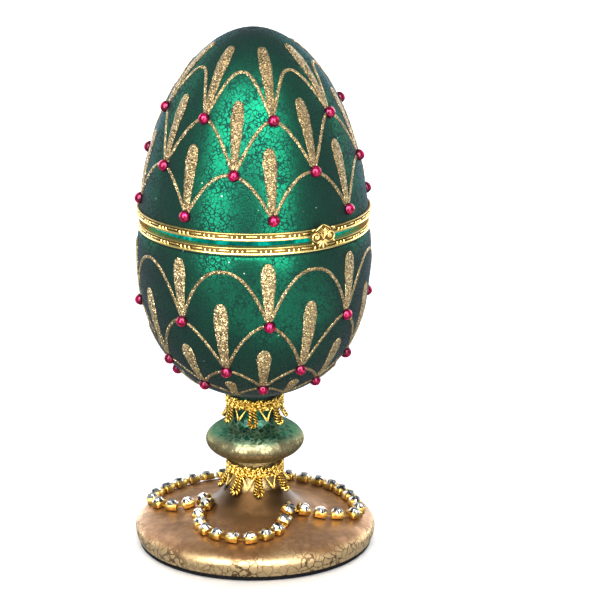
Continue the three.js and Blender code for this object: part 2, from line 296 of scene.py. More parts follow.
class StageSettings(bpy.types.PropertyGroup):
    floor: colour_setting("Floor", "Colour of the floor", (0.93, 0.93, 0.93))
    azimuth: bpy.props.FloatProperty(
        name="Azimuth", description="Camera's bearing", subtype="ANGLE", default=math.radians(-34.5))
    pitch: bpy.props.FloatProperty(
        name="Pitch", description="Camera's slope down", subtype="ANGLE", default=math.radians(16.45))
    lens: bpy.props.FloatProperty(name="Lens", description="Focal length", default=168)


# ---- modelling helpers ----


def alone(piece):
    """Selects only this piece."""
    bpy.ops.object.select_all(action="DESELECT")
    piece.select_set(True)
    bpy.context.view_layer.objects.active = piece


def fresh(name):
    """Names the piece that was just made and leaves it the only one selected."""
    piece = bpy.context.object
    piece.name = name
    piece.data.name = name
    alone(piece)
    return piece


def add(name, kind, **values):
    bpy.ops.object.select_all(action="DESELECT")
    getattr(bpy.ops.mesh, f"primitive_{kind}_add")(**values)
    return fresh(name)


def ball(name, segments, rings):
    return add(name, "uv_sphere", segments=segments, ring_count=rings, radius=1)


def shape(piece, move):
    """Moves every vertex of a piece to move(co)."""
    for vertex in piece.data.vertices:
        vertex.co = move(vertex.co)
    piece.data.update()
    return piece


def stretched(piece, x, y, z):
    return shape(piece, lambda co: Vector((co.x * x, co.y * y, co.z * z)))


def settle(piece):
    """Puts a piece's place into its mesh."""
    alone(piece)
    bpy.ops.object.transform_apply(location=True, rotation=True, scale=True)
    return piece


def join(name, pieces):
    bpy.ops.object.select_all(action="DESELECT")
    for piece in pieces:
        piece.select_set(True)
    bpy.context.view_layer.objects.active = pieces[0]
    bpy.ops.object.join()
    return fresh(name)


def copy_to(piece, name, matrix):
    """A copy of a modelled piece with its own mesh, placed by a matrix in its mesh."""
    twin = bpy.data.objects.new(name, piece.data.copy())
    bpy.context.scene.collection.objects.link(twin)
    twin.data.transform(matrix)
    return twin


def discard(*pieces):
    for piece in pieces:
        bpy.data.objects.remove(piece)


def smooth(piece, degrees=35):
    alone(piece)
    bpy.ops.object.shade_smooth_by_angle(angle=math.radians(degrees))
    return piece


def softened(piece, width, **values):
    """Bevels the edges of a piece."""
    alone(piece)
    modifier = piece.modifiers.new("Bevel", "BEVEL")
    modifier.width = width
    for key, value in values.items():
        setattr(modifier, key, value)
    bpy.ops.object.modifier_apply(modifier=modifier.name)
    return piece


def turned(name, profile, steps):
    """Draws a profile of (radius, height) from one vertex and spins it round Z."""
    piece = add(name, "plane", size=MM)
    bpy.ops.object.mode_set(mode="EDIT")
    bpy.ops.mesh.select_all(action="SELECT")
    bpy.ops.mesh.merge(type="CENTER")
    bpy.ops.transform.translate(value=(profile[0][0], 0, profile[0][1]))
    for (r0, z0), (r1, z1) in zip(profile, profile[1:]):
        bpy.ops.mesh.extrude_vertices_move(TRANSFORM_OT_translate={"value": (r1 - r0, 0, z1 - z0)})
    bpy.ops.mesh.select_all(action="SELECT")
    bpy.ops.mesh.spin(steps=steps, angle=TAU, center=(0, 0, 0), axis=(0, 0, 1))
    bpy.ops.mesh.select_all(action="SELECT")
    bpy.ops.mesh.remove_doubles(threshold=0.004 * MM)
    bpy.ops.mesh.normals_make_consistent(inside=False)
    bpy.ops.object.mode_set(mode="OBJECT")
    return smooth(piece)


def pick_faces(piece, wanted):
    """Selects the faces that wanted(normal) says, and opens the piece for editing."""
    bpy.ops.object.mode_set(mode="EDIT")
    bpy.ops.mesh.select_all(action="DESELECT")
    bpy.ops.object.mode_set(mode="OBJECT")
    for face in piece.data.polygons:
        face.select = wanted(face.normal)
    bpy.ops.object.mode_set(mode="EDIT")


def places_of(piece):
    """The places of a piece's vertices, one row each."""
    places = np.zeros(len(piece.data.vertices) * 3)
    piece.data.vertices.foreach_get("co", places)
    return places.reshape(-1, 3)


def drawn_out(name, centres, across, outward, half_widths, heights, depth, sides):
    """A round-ended bead along a path: a sphere whose rings are moved one by one onto the path."""
    rings = len(centres) - 1
    piece = ball(name, sides, rings)
    start = places_of(piece)
    ring = np.rint(np.arccos(np.clip(start[:, 2], -1, 1)) / math.pi * rings).astype(int)
    angle = np.arctan2(start[:, 1], start[:, 0])
    ends = (ring == 0) | (ring == rings)
    side = np.where(ends, 0, np.cos(angle))[:, None]
    up = np.where(ends, 0, np.sin(angle))[:, None]
    width = np.asarray(half_widths)[ring][:, None]
    height = np.where(up > 0, np.asarray(heights)[ring][:, None], depth)
    place = np.asarray(centres)[ring] + np.asarray(across)[ring] * side * width
    place = place + np.asarray(outward)[ring] * up * height
    piece.data.vertices.foreach_set("co", place.ravel())
    piece.data.update()
    return piece


def rod(name, path, half_width, height, depth, sides):
    """A bar of one thickness along a path of (point, way out) pairs."""
    centres, outward = parted(path)
    even = np.ones(len(path))
    return drawn_out(name, centres, crossways(centres, outward), outward, even * half_width, even * height,
                     depth, sides)


def note(piece, name, values):
    """Gives each point of a piece a value from 0 to 1 that its material reads by name."""
    layer = piece.data.attributes.new(name, "FLOAT", "POINT")
    layer.data.foreach_set("value", np.clip(np.asarray(values, dtype=float), 0, 1))


def mark(piece, name, value_of):
    """Notes value_of(co) at each point of a piece: "recess" is 0 on a stamped crest and 1 in a hollow."""
    note(piece, name, [value_of(vertex.co) for vertex in piece.data.vertices])


def wear(piece, body, material, slot, *nodes):
    """Gives a finished piece its material and its body, and hides the frame nodes it stands for; the slot is
    not used.
    """
    if material is not None:
        piece.data.materials.clear()
        piece.data.materials.append(material)
    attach(piece, body)
    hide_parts(*nodes)
    return piece


# ---- materials ----


class Field:
    """A value that varies over a surface: a socket that can be added, multiplied and so on."""

    def __init__(self, paint, socket):
        self.paint = paint
        self.socket = socket

    def math(self, operation, other):
        return self.paint.node("ShaderNodeMath", {"operation": operation}, {0: self, 1: other})

    def __add__(self, other):
        return self.math("ADD", other)

    __radd__ = __add__

    def __mul__(self, other):
        return self.math("MULTIPLY", other)

    __rmul__ = __mul__

    def __sub__(self, other):
        return self.math("SUBTRACT", other)

    def __rsub__(self, other):
        return (self * -1) + other

    def __truediv__(self, other):
        return self.math("DIVIDE", other)

    def between(self, low, high):
        """0 at low and below, 1 at high and above, smooth between."""
        return self.paint.node("ShaderNodeMapRange", {"interpolation_type": "SMOOTHSTEP"},
                               {"Value": self, "From Min": low, "From Max": high})


class Paint:
    """One material and its nodes."""

    def __init__(self, name):
        self.material = bpy.data.materials.new(name)
        self.material.use_nodes = True
        self.tree = self.material.node_tree
        self.shader = self.tree.nodes["Principled BSDF"]

    def node(self, kind, settings=None, sockets=None, output=0):
        made = self.tree.nodes.new(kind)
        for key, value in (settings or {}).items():
            setattr(made, key, value)
        for key, value in (sockets or {}).items():
            self.feed(made.inputs[key], value)
        return Field(self, made.outputs[output])

    def feed(self, socket, value):
        if isinstance(value, Field):
            self.tree.links.new(value.socket, socket)
        elif socket.type == "RGBA":
            socket.default_value = (*value[:3], 1)
        else:
            socket.default_value = value

    def vector(self, operation, sockets):
        return self.node("ShaderNodeVectorMath", {"operation": operation}, sockets)

    def here(self):
        return self.node("ShaderNodeTexCoord", output="Object")

    def place(self, feature):
        """Object coordinates measured in features of that size."""
        return self.vector("SCALE", {0: self.here(), "Scale": 1 / feature})

    def height(self):
        return self.node("ShaderNodeSeparateXYZ", None, {0: self.here()}, "Z")

    def noise(self, feature, detail=2.0, output=0):
        sockets = {"Vector": self.place(feature), "Scale": 1.0, "Detail": detail}
        return self.node("ShaderNodeTexNoise", None, sockets, output)

    def wander(self, feature, detail, reach):
        """A drift to both sides of nothing, over that reach in all."""
        return (self.noise(feature, detail) - 0.5) * reach

    def cells(self, feature, form, output, where=None):
        sockets = {"Vector": where or self.place(feature), "Scale": 1.0}
        return self.node("ShaderNodeTexVoronoi", {"feature": form}, sockets, output)

    def marked(self, name):
        """The value that the piece's points carry under that name."""
        return self.node("ShaderNodeAttribute", {"attribute_name": name}, None, "Fac")

    def channel(self, colour, number):
        return self.node("ShaderNodeSeparateColor", None, {0: colour}, number)

    def mix(self, factor, first, second):
        return self.node("ShaderNodeMix", {"data_type": "RGBA"}, {0: factor, 6: first, 7: second}, 2)

    def shifted(self, vector, by, amount):
        """vector moved by a colour field, centred on no shift."""
        centred = self.vector("SUBTRACT", {0: by, 1: (0.5, 0.5, 0.5)})
        return self.vector("ADD", {0: vector, 1: self.vector("SCALE", {0: centred, "Scale": amount})})

    def tilted(self, by, amount):
        """The surface's normal, turned a little by a colour field."""
        facing = self.node("ShaderNodeNewGeometry", output="Normal")
        return self.vector("NORMALIZE", {0: self.shifted(facing, by, amount)})

    def bump(self, height, distance, strength, normal=None):
        sockets = {"Height": height, "Distance": distance, "Strength": strength}
        if normal is not None:
            sockets["Normal"] = normal
        return self.node("ShaderNodeBump", None, sockets)

    def finish(self, **values):
        for key, value in values.items():
            self.feed(self.shader.inputs[key.replace("_", " ").title().replace("Ior", "IOR")], value)
        return self.material


def once(name, make, *values):
    """The material of that name, made when it is first asked for."""
    return bpy.data.materials.get(name) or make(name, *values)


def crackle(paint, cell, thin, thick):
    """The web of cracks in the lacquer, 1 in a crack and 0 between, and a colour for each flake."""
    drift = paint.noise(cell * 1.3, 3.0, "Color")
    where = paint.shifted(paint.place(cell), drift, 1.5)
    edge = paint.cells(cell, "DISTANCE_TO_EDGE", "Distance", where)
    width = paint.noise(cell * 3.5).between(0.35, 0.65) * (thick - thin) + thin
    return 1 - (edge / width).between(0.35, 1.0), paint.cells(cell, "F1", "Color", where)


def egg_lacquer(name, glass):
    """Metallic green with darker clouds and cracks, a few pale specks, and a faint painted glow all over that
    stands in for a veil of light.
    """
    paint = Paint(name)
    crack_green, pale_speck = (0.0008, 0.019, 0.013), (0.35, 0.45, 0.34)
    cracks, flake = crackle(paint, glass.crackle, 0.05, 0.19)
    cloud = paint.noise(14 * MM, 3.0).between(0.3, 0.75)
    body = paint.mix(cloud * 0.35, glass.green, glass.deep_green)
    lined = paint.mix(cracks * 0.9, body, crack_green)
    speck = 1 - paint.cells(5 * MM, "F1", "Distance").between(0.03, 0.06)
    return paint.finish(
        base_color=paint.mix(speck, lined, pale_speck), metallic=0.97,
        roughness=0.29 + cloud * 0.04 + cracks * 0.3, specular_tint=(0.27, 0.35, 0.42),
        sheen_weight=0.1, sheen_roughness=0.52, sheen_tint=(0.8, 0.86, 1.0),
        # Painted light: a faint glow of its own over the whole lacquer, in place of a veil of light from the
        # room.
        emission_color=(1.0, 0.8, 1.0), emission_strength=0.011,
        normal=paint.bump(1 - cracks, 0.03 * MM, 0.6, paint.tilted(flake, 0.03)))


def knop_lacquer(glass):
    """Green over pale gold, browner under the knop, with painted blue-black reflections in patches near its
    top, under the collar.
    """
    paint = Paint("knop_lacquer")
    sea_green, blue_black, sage = (0.014, 0.085, 0.05), (0.004, 0.028, 0.065), (0.11, 0.17, 0.11)
    pale_gold, crack_brown, bronze = (0.27, 0.225, 0.12), (0.10, 0.08, 0.035), (0.17, 0.12, 0.062)
    cracks, flake = crackle(paint, glass.crackle * 1.2, 0.07, 0.17)
    rise = paint.height() - KNOP_MIDDLE
    drifting = rise + paint.wander(5 * MM, 3.0, 2.4 * MM)
    # Painted reflection: blue-black patches near the top of the knop, under the collar.
    collar_reflection = paint.noise(2.6 * MM, 2.0).between(0.5, 0.68) * rise.between(3 * MM, 6 * MM)
    upper = paint.mix(cracks * 0.8, paint.mix(collar_reflection * 0.8, sea_green, blue_black), sage)
    middle = paint.mix(cracks * 0.7, pale_gold, crack_brown)
    lower = paint.mix(drifting.between(-5 * MM, -1 * MM), bronze, middle)
    gold = 1 - drifting.between(0.6 * MM, 4.2 * MM)
    return paint.finish(base_color=paint.mix(gold, upper, lower), metallic=0.85,
                        roughness=0.36 + cracks * 0.2, specular_tint=(0.4, 0.45, 0.38),
                        normal=paint.tilted(flake, 0.22))


def foot_lacquer(glass):
    """Webbed old gold at the edge, clouded copper on top, a brown flare that darkens upward into painted
    shade under the collar, and a pale gold neck.
    """
    paint = Paint("foot_lacquer")
    umber, rust, edge_brown = (0.17, 0.076, 0.025), (0.12, 0.05, 0.018), (0.085, 0.038, 0.012)
    brown, painted_shade_brown = (0.14, 0.072, 0.028), (0.045, 0.022, 0.007)
    pale_gold, crack_brown = (0.33, 0.24, 0.11), (0.12, 0.08, 0.03)
    cracks, flake = crackle(paint, glass.crackle * 1.9, 0.05, 0.15)
    height = paint.height()
    cloud = paint.noise(9 * MM, 5.0).between(0.3, 0.7)
    brushed = paint.noise(2.2 * MM, 4.0).between(0.25, 0.75)
    webbed = cracks * (paint.noise(11 * MM, 2.0).between(0.3, 0.6) * 0.6 + 0.35)
    top = paint.mix(cloud * 0.6 + brushed * 0.4, glass.copper, umber)
    top = paint.mix(webbed * 0.35, top, rust)
    edge = paint.mix(webbed * 0.95, glass.old_gold, edge_brown)
    # Painted shade: the flare darkens upward, under the knop and the collar.
    flare = paint.mix(height.between(*PAINTED_SHADE_FADE), brown, painted_shade_brown)
    neck = paint.mix(cracks * 0.6, pale_gold, crack_brown)
    drifting = height + paint.wander(7 * MM, 3.0, 1.6 * MM)
    lower = paint.mix((height + paint.wander(17 * MM, 2.0, 7 * MM)).between(*EDGE_FADE), edge, top)
    upper = paint.mix(drifting.between(*NECK_FADE), flare, neck)
    return paint.finish(base_color=paint.mix(drifting.between(*FLARE_FADE), lower, upper),
                        metallic=0.68 + height.between(*FLARE_FADE) * 0.27, roughness=0.38 + cloud * 0.12,
                        normal=paint.tilted(flake, 0.07))


def bare_glass(name, glass):
    """Glossy glass with a painted glow that stands in for the light coming through its walls, and a painted
    shadow where the pattern lies behind it.
    """
    paint = Paint(name)
    deep_teal, shadow = (0.0, 0.09, 0.07), (0.0, 0.012, 0.012)
    cloud = paint.noise(1.8 * MM, 3.0).between(0.35, 0.65)
    colour = paint.mix(cloud * 0.75, glass.inside, deep_teal)
    colour = paint.mix(paint.marked("tracery") * 0.85, colour, shadow)
    # Painted light: the glass glows with its own colour, in place of light coming through the lacquered
    # walls.
    return paint.finish(base_color=colour, metallic=0.25, roughness=0.08, coat_weight=0.6,
                        coat_roughness=0.03, emission_color=colour, emission_strength=1.15)


def glitter():
    """Flakes of gold turned every way, with painted shade on some and painted glints on others; sparser in
    the lines, and painted darker higher up as shade.
    """
    paint = Paint("gold_glitter")
    gold_dark, gold_light, glint_gold = (0.29, 0.19, 0.08), (0.52, 0.40, 0.19), (0.80, 0.66, 0.41)
    unlit, ground = (0.08, 0.048, 0.018), (0.085, 0.052, 0.02)
    fleck = paint.cells(0.3 * MM, "F1", "Color")
    chance = paint.channel(fleck, 0)
    colour = paint.mix(paint.channel(fleck, 1), gold_dark, gold_light)
    # Painted shade and glints: some flakes take the unlit colour, others the bright glint colour.
    colour = paint.mix(chance.between(0.12, 0.38), unlit, colour)
    colour = paint.mix(chance.between(0.74, 0.94), colour, glint_gold)
    sparse = paint.marked("sparse")
    # Painted shade: the glitter darkens towards the top of the egg. The ground colour shows between the
    # sparse grains of the lines, and also serves as this painted shade.
    painted_top_shade = paint.height().between(92 * MM, 158 * MM) * 0.5
    colour = paint.mix(sparse * 0.3 + painted_top_shade * (1 - sparse), colour, ground)
    return paint.finish(base_color=colour, metallic=0.78, roughness=0.42, normal=paint.tilted(fleck, 1.4))


def gilding(name, light, deep, rough, hollow_shade=(0.035, 0.019, 0.004)):
    """Gilt metal with painted shade in its hollows, and a darker, plainer gold painted on its shelves as the
    shade inside the gap between the rims.
    """
    paint = Paint(name)
    shelf_shade_gold = (0.72, 0.46, 0.13)
    cloud = paint.noise(3 * MM, 3.0).between(0.3, 0.75)
    bright = paint.mix(cloud * 0.5, light, deep)
    recess, shelf = paint.marked("recess"), paint.marked("shelf")
    # Painted shade: hollows darken by the recess mark, and shelves take the darker painted gold.
    colour = paint.mix(shelf, paint.mix(recess * 0.97, bright, hollow_shade), shelf_shade_gold)
    return paint.finish(base_color=colour, metallic=1 - shelf * 0.25,
                        roughness=rough + cloud * 0.08 + recess * 0.15,
                        normal=paint.bump(paint.noise(0.8 * MM), 0.01 * MM, 0.6))


def stamped_gilding(name, gilt):
    """The gilding that the rims and the hinge share."""
    return gilding(name, gilt.gold, (0.66, 0.44, 0.10), 0.22, (0.10, 0.057, 0.012))


def braid_gold(gilt):
    paint = Paint("gilt_thread")
    thread_light, shade = (0.80, 0.55, 0.15), (0.02, 0.009, 0.002)
    grain = paint.noise(0.5 * MM, 2.0)
    bright = paint.mix(grain.between(0.35, 0.65), gilt.braid, thread_light)
    return paint.finish(base_color=paint.mix(paint.marked("recess"), bright, shade), metallic=1.0,
                        roughness=0.24 + grain * 0.15, normal=paint.bump(grain, 0.08 * MM, 0.8))


def ruby():
    paint = Paint("ruby_cabochon")
    crimson, dark_red_reflection, edge = (0.72, 0.001, 0.10), (0.20, 0.001, 0.025), (0.07, 0.0, 0.02)
    # Painted reflections: dark patches inside the stone; the recess mark adds painted shade toward its edge.
    cloud = paint.noise(1.1 * MM, 1.0).between(0.36, 0.62)
    colour = paint.mix(paint.marked("recess"), paint.mix(cloud, crimson, dark_red_reflection), edge)
    return paint.finish(base_color=colour, metallic=0.45, roughness=0.26, specular_ior_level=0.15,
                        coat_weight=0.25, coat_roughness=0.03)


def clear_stone():
    paint = Paint("clear_stone")
    dark_facet_reflection, light_facet_reflection = (0.04, 0.037, 0.036), (0.55, 0.53, 0.52)
    # Painted reflections: each facet is painted dark or light, as the facets of a clear stone mirror the
    # room.
    facet = paint.channel(paint.cells(0.9 * MM, "F1", "Color"), 0)
    colour = paint.mix(facet.between(0.3, 0.85), dark_facet_reflection, light_facet_reflection)
    return paint.finish(base_color=colour, metallic=0.85, roughness=0.16, coat_weight=0.8,
                        coat_roughness=0.02)


def felt():
    paint = Paint("black_felt")
    black, soot = (0.002, 0.002, 0.003), (0.012, 0.011, 0.013)
    fuzz = paint.noise(0.35 * MM, 4.0)
    return paint.finish(base_color=paint.mix(fuzz.between(0.3, 0.7), black, soot), roughness=0.95,
                        specular_ior_level=0.1, normal=paint.bump(fuzz, 0.12 * MM, 0.8))


# ---- glass ----


def foot_line(edge_steps, flare_steps):
    """The top of the foot from its widest to its neck."""
    wide, tall = FOOT_RADIUS - FOOT_SHOULDER_RADIUS, FOOT_SHOULDER - FOOT_EDGE
    edge = [(FOOT_SHOULDER_RADIUS + wide * out, FOOT_EDGE + tall * up)
            for out, up in super_quarter(edge_steps, FOOT_POWER)]
    return edge + through(FLARE, flare_steps)[1:]


def bowl_line(thinner, count):
    """The bowl from its widest down to its middle, that much inside its outer face."""
    return [((BOWL_RADIUS - thinner) * out, WAIST - (BOWL_DEPTH - thinner) * up)
            for out, up in super_quarter(count, BOWL_POWER)]


def goblet_profile():
    """The goblet's line: under the foot, up its outside to the mouth, and down the inside of the bowl."""
    line = [(0, FOOT_BOTTOM), (PAD_RADIUS - 1.2 * MM, FOOT_BOTTOM), (PAD_RADIUS + 0.1 * MM, FOOT_BOTTOM)]
    line += [(PAD_RADIUS + 0.25 * MM, FOOT_BOTTOM - FOOT_LIP), (PAD_RADIUS + 1 * MM, FOOT_BOTTOM + 1.2 * MM)]
    line += foot_line(18, 4)
    start = -math.acos(NECK_RADIUS / KNOP_RADIUS)
    end = math.acos(KNOP_RISE[0][0] / KNOP_RADIUS)
    line += arc((0, KNOP_MIDDLE), (KNOP_RADIUS, KNOP_HALF), start, end, 32)
    line += through(KNOP_RISE, 5)[1:]
    line.append((NECK_RADIUS, NECK_TOP))
    line += [(r, z) for r, z in reversed(bowl_line(0, 40))
             if r > NECK_RADIUS + 1.2 * MM and z < WAIST - 0.5 * MM]
    line += arc((MOUTH_RADIUS, WAIST), (BOWL_RADIUS - MOUTH_RADIUS, MOUTH_SHOULDER), 0, math.pi / 2, 10)
    line += [(MOUTH_RADIUS, MOUTH_TOP - 0.3 * MM), (MOUTH_RADIUS - 0.3 * MM, MOUTH_TOP)]
    line.append((MOUTH_RADIUS - WALL, MOUTH_TOP))
    return line + [(r, z) for r, z in bowl_line(WALL, 60) if r < MOUTH_RADIUS - WALL]


def lid_line(thinner):
    """The lid from its edge to its top, that much inside its outer face."""
    rise = LID_RISE - thinner
    start = math.asin((LID_EDGE - WAIST) / rise)
    line = []
    for share in shares(60):
        up = math.sin(start + (math.pi / 2 - start) * share)
        line.append(((LID_RADIUS - thinner) * lid_share(up), WAIST + rise * up))
    line[-1] = (0, LID_TOP - thinner)
    return line


def lid_profile():
    """The lid's line: down its inside and up its outside, with a fine groove round its point."""
    groove, groove_radius, groove_width = 0.35 * MM, 1.6 * MM, 0.5 * MM
    outer = [(r, z - groove * math.exp(-((r - groove_radius) / groove_width) ** 2)) for r, z in lid_line(0)]
    return lid_line(WALL)[::-1] + outer


def zone(piece, materials, pick):
    """Gives each face the material whose number pick(centre, normal) says."""
    piece.data.materials.clear()
    for material in materials:
        piece.data.materials.append(material)
    for face in piece.data.polygons:
        face.material_index = pick(face.center, face.normal)


def goblet_zone(centre, normal):
    """The goblet's material at a face: 0 on the foot, 1 on the knop, 2 outside and 3 inside the bowl."""
    if centre.z < FOOT_TO_KNOP:
        return 0
    if centre.z < KNOP_TO_EGG:
        return 1
    inward = normal.x * centre.x + normal.y * centre.y < 0 or from_axis(centre) < NECK_RADIUS + 0.6 * MM
    return 3 if inward and centre.z > WAIST - BOWL_DEPTH + WALL - 0.2 * MM else 2


def lid_zone(centre, normal):
    """The lid's material at a face: 0 outside and 1 inside, split midway through the wall."""
    share = min(1, (centre.z - WAIST) / (LID_RISE - WALL / 2))
    return 1 if from_axis(centre) < (LID_RADIUS - WALL / 2) * lid_share(share) else 0


class EGGBOX_OT_goblet(bpy.types.Operator):
    """Blows the goblet: foot, knop, neck and bowl in one piece of glass"""

    bl_idname = "egg_box.goblet"
    bl_label = "Goblet"

    def execute(self, context):
        glass = context.scene.egg_glass
        piece = turned("goblet_glass", goblet_profile(), 224)
        wear(piece, "stand", None, "painted_glass", "goblet")
        materials = [foot_lacquer(glass), knop_lacquer(glass), once("green_lacquer", egg_lacquer, glass),
                     once("bare_glass", bare_glass, glass)]
        zone(piece, materials, goblet_zone)
        shade_tracery(piece, BOWL, context.scene.egg_tracery)
        return {"FINISHED"}


class EGGBOX_OT_lid(bpy.types.Operator):
    """Blows the lid, the upper half of the egg"""

    bl_idname = "egg_box.lid"
    bl_label = "Lid"

    def execute(self, context):
        glass = context.scene.egg_glass
        piece = turned("lid_shell", lid_profile(), 224)
        wear(piece, "lid", None, "painted_glass", "lid_glass")
        materials = [once("green_lacquer", egg_lacquer, glass), once("bare_glass", bare_glass, glass)]
        zone(piece, materials, lid_zone)
        shade_tracery(piece, LID, context.scene.egg_tracery)
        return {"FINISHED"}


# ---- glitter tracery ----


def drop_spots(drop, count, lean=0.0, bunched=0.0):
    """Share, bearing and height up the middle of a drop; bunched gathers them at its ends."""
    bearing, foot, top, _ = drop
    for even in shares(count):
        share = even - bunched * math.sin(TAU * even)
        yield share, bearing + lean * share, foot + (top - foot) * share


def drop_width(share):
    """Half width of a drop, as a share of its widest, from foot to top."""
    widest = 0.72
    if share < widest:
        return 0.45 + 0.55 * (max(0, share) / widest) ** 1.1
    return 1 - 0.4 * ((share - widest) / (1 - widest)) ** 2


def bead(name, half, spots, widths, coat, dice, sides):
    """A grainy, round-ended ridge of glitter on the glass, through spots of bearing and height."""
    centres, normals = parted([half.on_glass(*spot) for spot in spots])
    run = run_along(centres)
    round_end = np.sqrt(1 - (1 - np.clip(np.minimum(run, run[-1] - run) / widths, 0, 1)) ** 2)
    grain = np.array([dice.uniform(0.95, 1.05) for _ in run])
    lump = np.array([dice.uniform(0.92, 1.08) for _ in run])
    height = coat * np.clip(round_end, 0.25, 1) * lump
    return drawn_out(name, centres, crossways(centres, normals), normals, widths * round_end * grain, height,
                     0.12 * MM, sides)


def lay_line(half, line, settings, dice):
    """One arch of the pattern, marked as sparse."""
    widths = np.full(len(line), settings.line / 2)
    piece = bead(f"{half.name}_line", half, line, widths, settings.coat, dice, 8)
    mark(piece, "sparse", lambda co: 1)
    return piece


def lay_drop(half, drop, settings, dice):
    """One drop of the pattern, leaning a little to one side."""
    lean = dice.uniform(-0.5, 0.5) * math.radians(1.5)
    placed = list(drop_spots(drop, 44, lean, 0.12))
    spots = [spot[1:] for spot in placed]
    widths = np.array([drop[3] / 2 * drop_width(share) for share, _, _ in placed])
    return bead(f"{half.name}_drop", half, spots, widths, settings.coat * 1.15, dice, 16)


def shade_tracery(piece, half, settings):
    """Marks where the pattern shows as a shadow through the bare glass of the inside."""
    lines, drop_list = half.pattern(settings)
    blots = [(*half.on_glass(*spot)[0], 0.7 * MM) for line in lines for spot in line]
    for drop in drop_list:
        for share, bearing, height in drop_spots(drop, 40):
            blots.append((*half.on_glass(bearing, height)[0], drop[3] / 2 * drop_width(share)))
    blots = np.array(blots)
    places = places_of(piece)
    shade = np.zeros(len(places))
    patterned = np.linalg.norm(places[:, :2], axis=1) > 6 * MM
    block = 4000
    for start in range(0, len(places), block):
        some = slice(start, start + block)
        if patterned[some].any():
            away = np.linalg.norm(places[some, None, :] - blots[None, :, :3], axis=2)
            reach = (away - blots[None, :, 3] - WALL).min(axis=1)
            shade[some] = 1 - reach / (0.5 * MM)
    note(piece, "tracery", shade)


class EGGBOX_OT_tracery(bpy.types.Operator):
    """Lays the raised glitter arches and drops on the lid and on the bowl"""

    bl_idname = "egg_box.tracery"
    bl_label = "Glitter tracery"

    def execute(self, context):
        settings = context.scene.egg_tracery
        dice = random.Random(7)
        material = glitter()
        for half in (LID, BOWL):
            lines, drop_list = half.pattern(settings)
            beads = [lay_line(half, line, settings, dice) for line in lines]
            beads += [lay_drop(half, drop, settings, dice) for drop in drop_list]
            piece = smooth(join(f"{half.name}_tracery", beads), 60)
            wear(piece, half.body, material, "gold_glitter")
        return {"FINISHED"}


# ---- stones ----


class EGGBOX_OT_cabochons(bpy.types.Operator):
    """Glues the ruby cabochons to the crossings of the pattern"""

    bl_idname = "egg_box.cabochons"
    bl_label = "Cabochons"

    def execute(self, context):
        material = ruby()
        dome = ball("dome", 20, 12)

        def press(co):
            up = co.z * (STONE_RISE if co.z > 0 else STONE_SEAT)
            return Vector((co.x * STONE_RADIUS, co.y * STONE_RADIUS, up))

        shape(dome, press)
        # The recess mark grows toward the dome's foot, for painted shade at the stone's edge.
        mark(dome, "recess", lambda co: (0.85 - co.z / STONE_RISE) / 0.75)
        smooth(dome, 80)
        for half in (LID, BOWL):
            for row in range(1, ROWS + 1):
                for k in range(1, PER_ROW + 1):
                    place, outward = half.on_glass(*half.stone_spot(row, k), STONE_SEAT)
                    turn = Vector((0, 0, 1)).rotation_difference(outward).to_matrix().to_4x4()
                    stone = copy_to(dome, f"{half.name}_stone_{row}_{k}", Matrix.Translation(place) @ turn)
                    wear(stone, half.body, material, "ruby_glass", half.stone_node(row, k))
        discard(dome)
        return {"FINISHED"}


# ---- felt ----


class EGGBOX_OT_felt(bpy.types.Operator):
    """Cuts the felt pad under the foot"""

    bl_idname = "egg_box.felt"
    bl_label = "Felt pad"

    def execute(self, context):
        soft, gap = 0.35 * MM, 0.02 * MM
        profile = [(0, 0), (PAD_RADIUS - soft, 0), (PAD_RADIUS, soft), (PAD_RADIUS, PAD_TOP - soft),
                   (PAD_RADIUS - soft, PAD_TOP - gap), (0, PAD_TOP - gap)]
        piece = turned("felt_disc", profile, 160)
        wear(piece, "stand", felt(), "black_felt", "felt_pad")
        return {"FINISHED"}


# ---- rims ----

RIM_GROUPS = 26
THICK_BEAD, THIN_BEAD = 0.46 * MM, 0.2 * MM
CHANNEL_DEPTH, BAND_DEPTH = 0.55 * MM, 0.8 * MM
FLANGE_RADIUS, FLANGE = 35.2 * MM, 0.5 * MM


def half_round(outside, low, size):
    """The outline of a bead of that radius, from its foot to its top, with its crown at the outside."""
    return arc((outside - size, low + size), (size, size), -math.pi / 2, math.pi / 2, 8)


def rim_section(radius, low, high, flange_up):
    """A channel between a thick bead below and a thin one above, and a flange at the open side of the rim."""
    floor, inner = radius - CHANNEL_DEPTH, radius - BAND_DEPTH
    channel_low, channel_high = low + 2 * THICK_BEAD, high - 2 * THIN_BEAD
    outer = [*half_round(radius, low, THICK_BEAD), (floor, channel_low), (floor, channel_high),
             *half_round(radius - 0.2 * MM, channel_high, THIN_BEAD)]
    if flange_up:
        section = [(inner, low), *outer, (inner, high), (FLANGE_RADIUS, high), (FLANGE_RADIUS, high - FLANGE),
                   (inner, high - FLANGE)]
    else:
        section = [(inner, low + FLANGE), (FLANGE_RADIUS, low + FLANGE), (FLANGE_RADIUS, low), (inner, low),
                   *outer, (inner, high)]
    return section + section[:1]


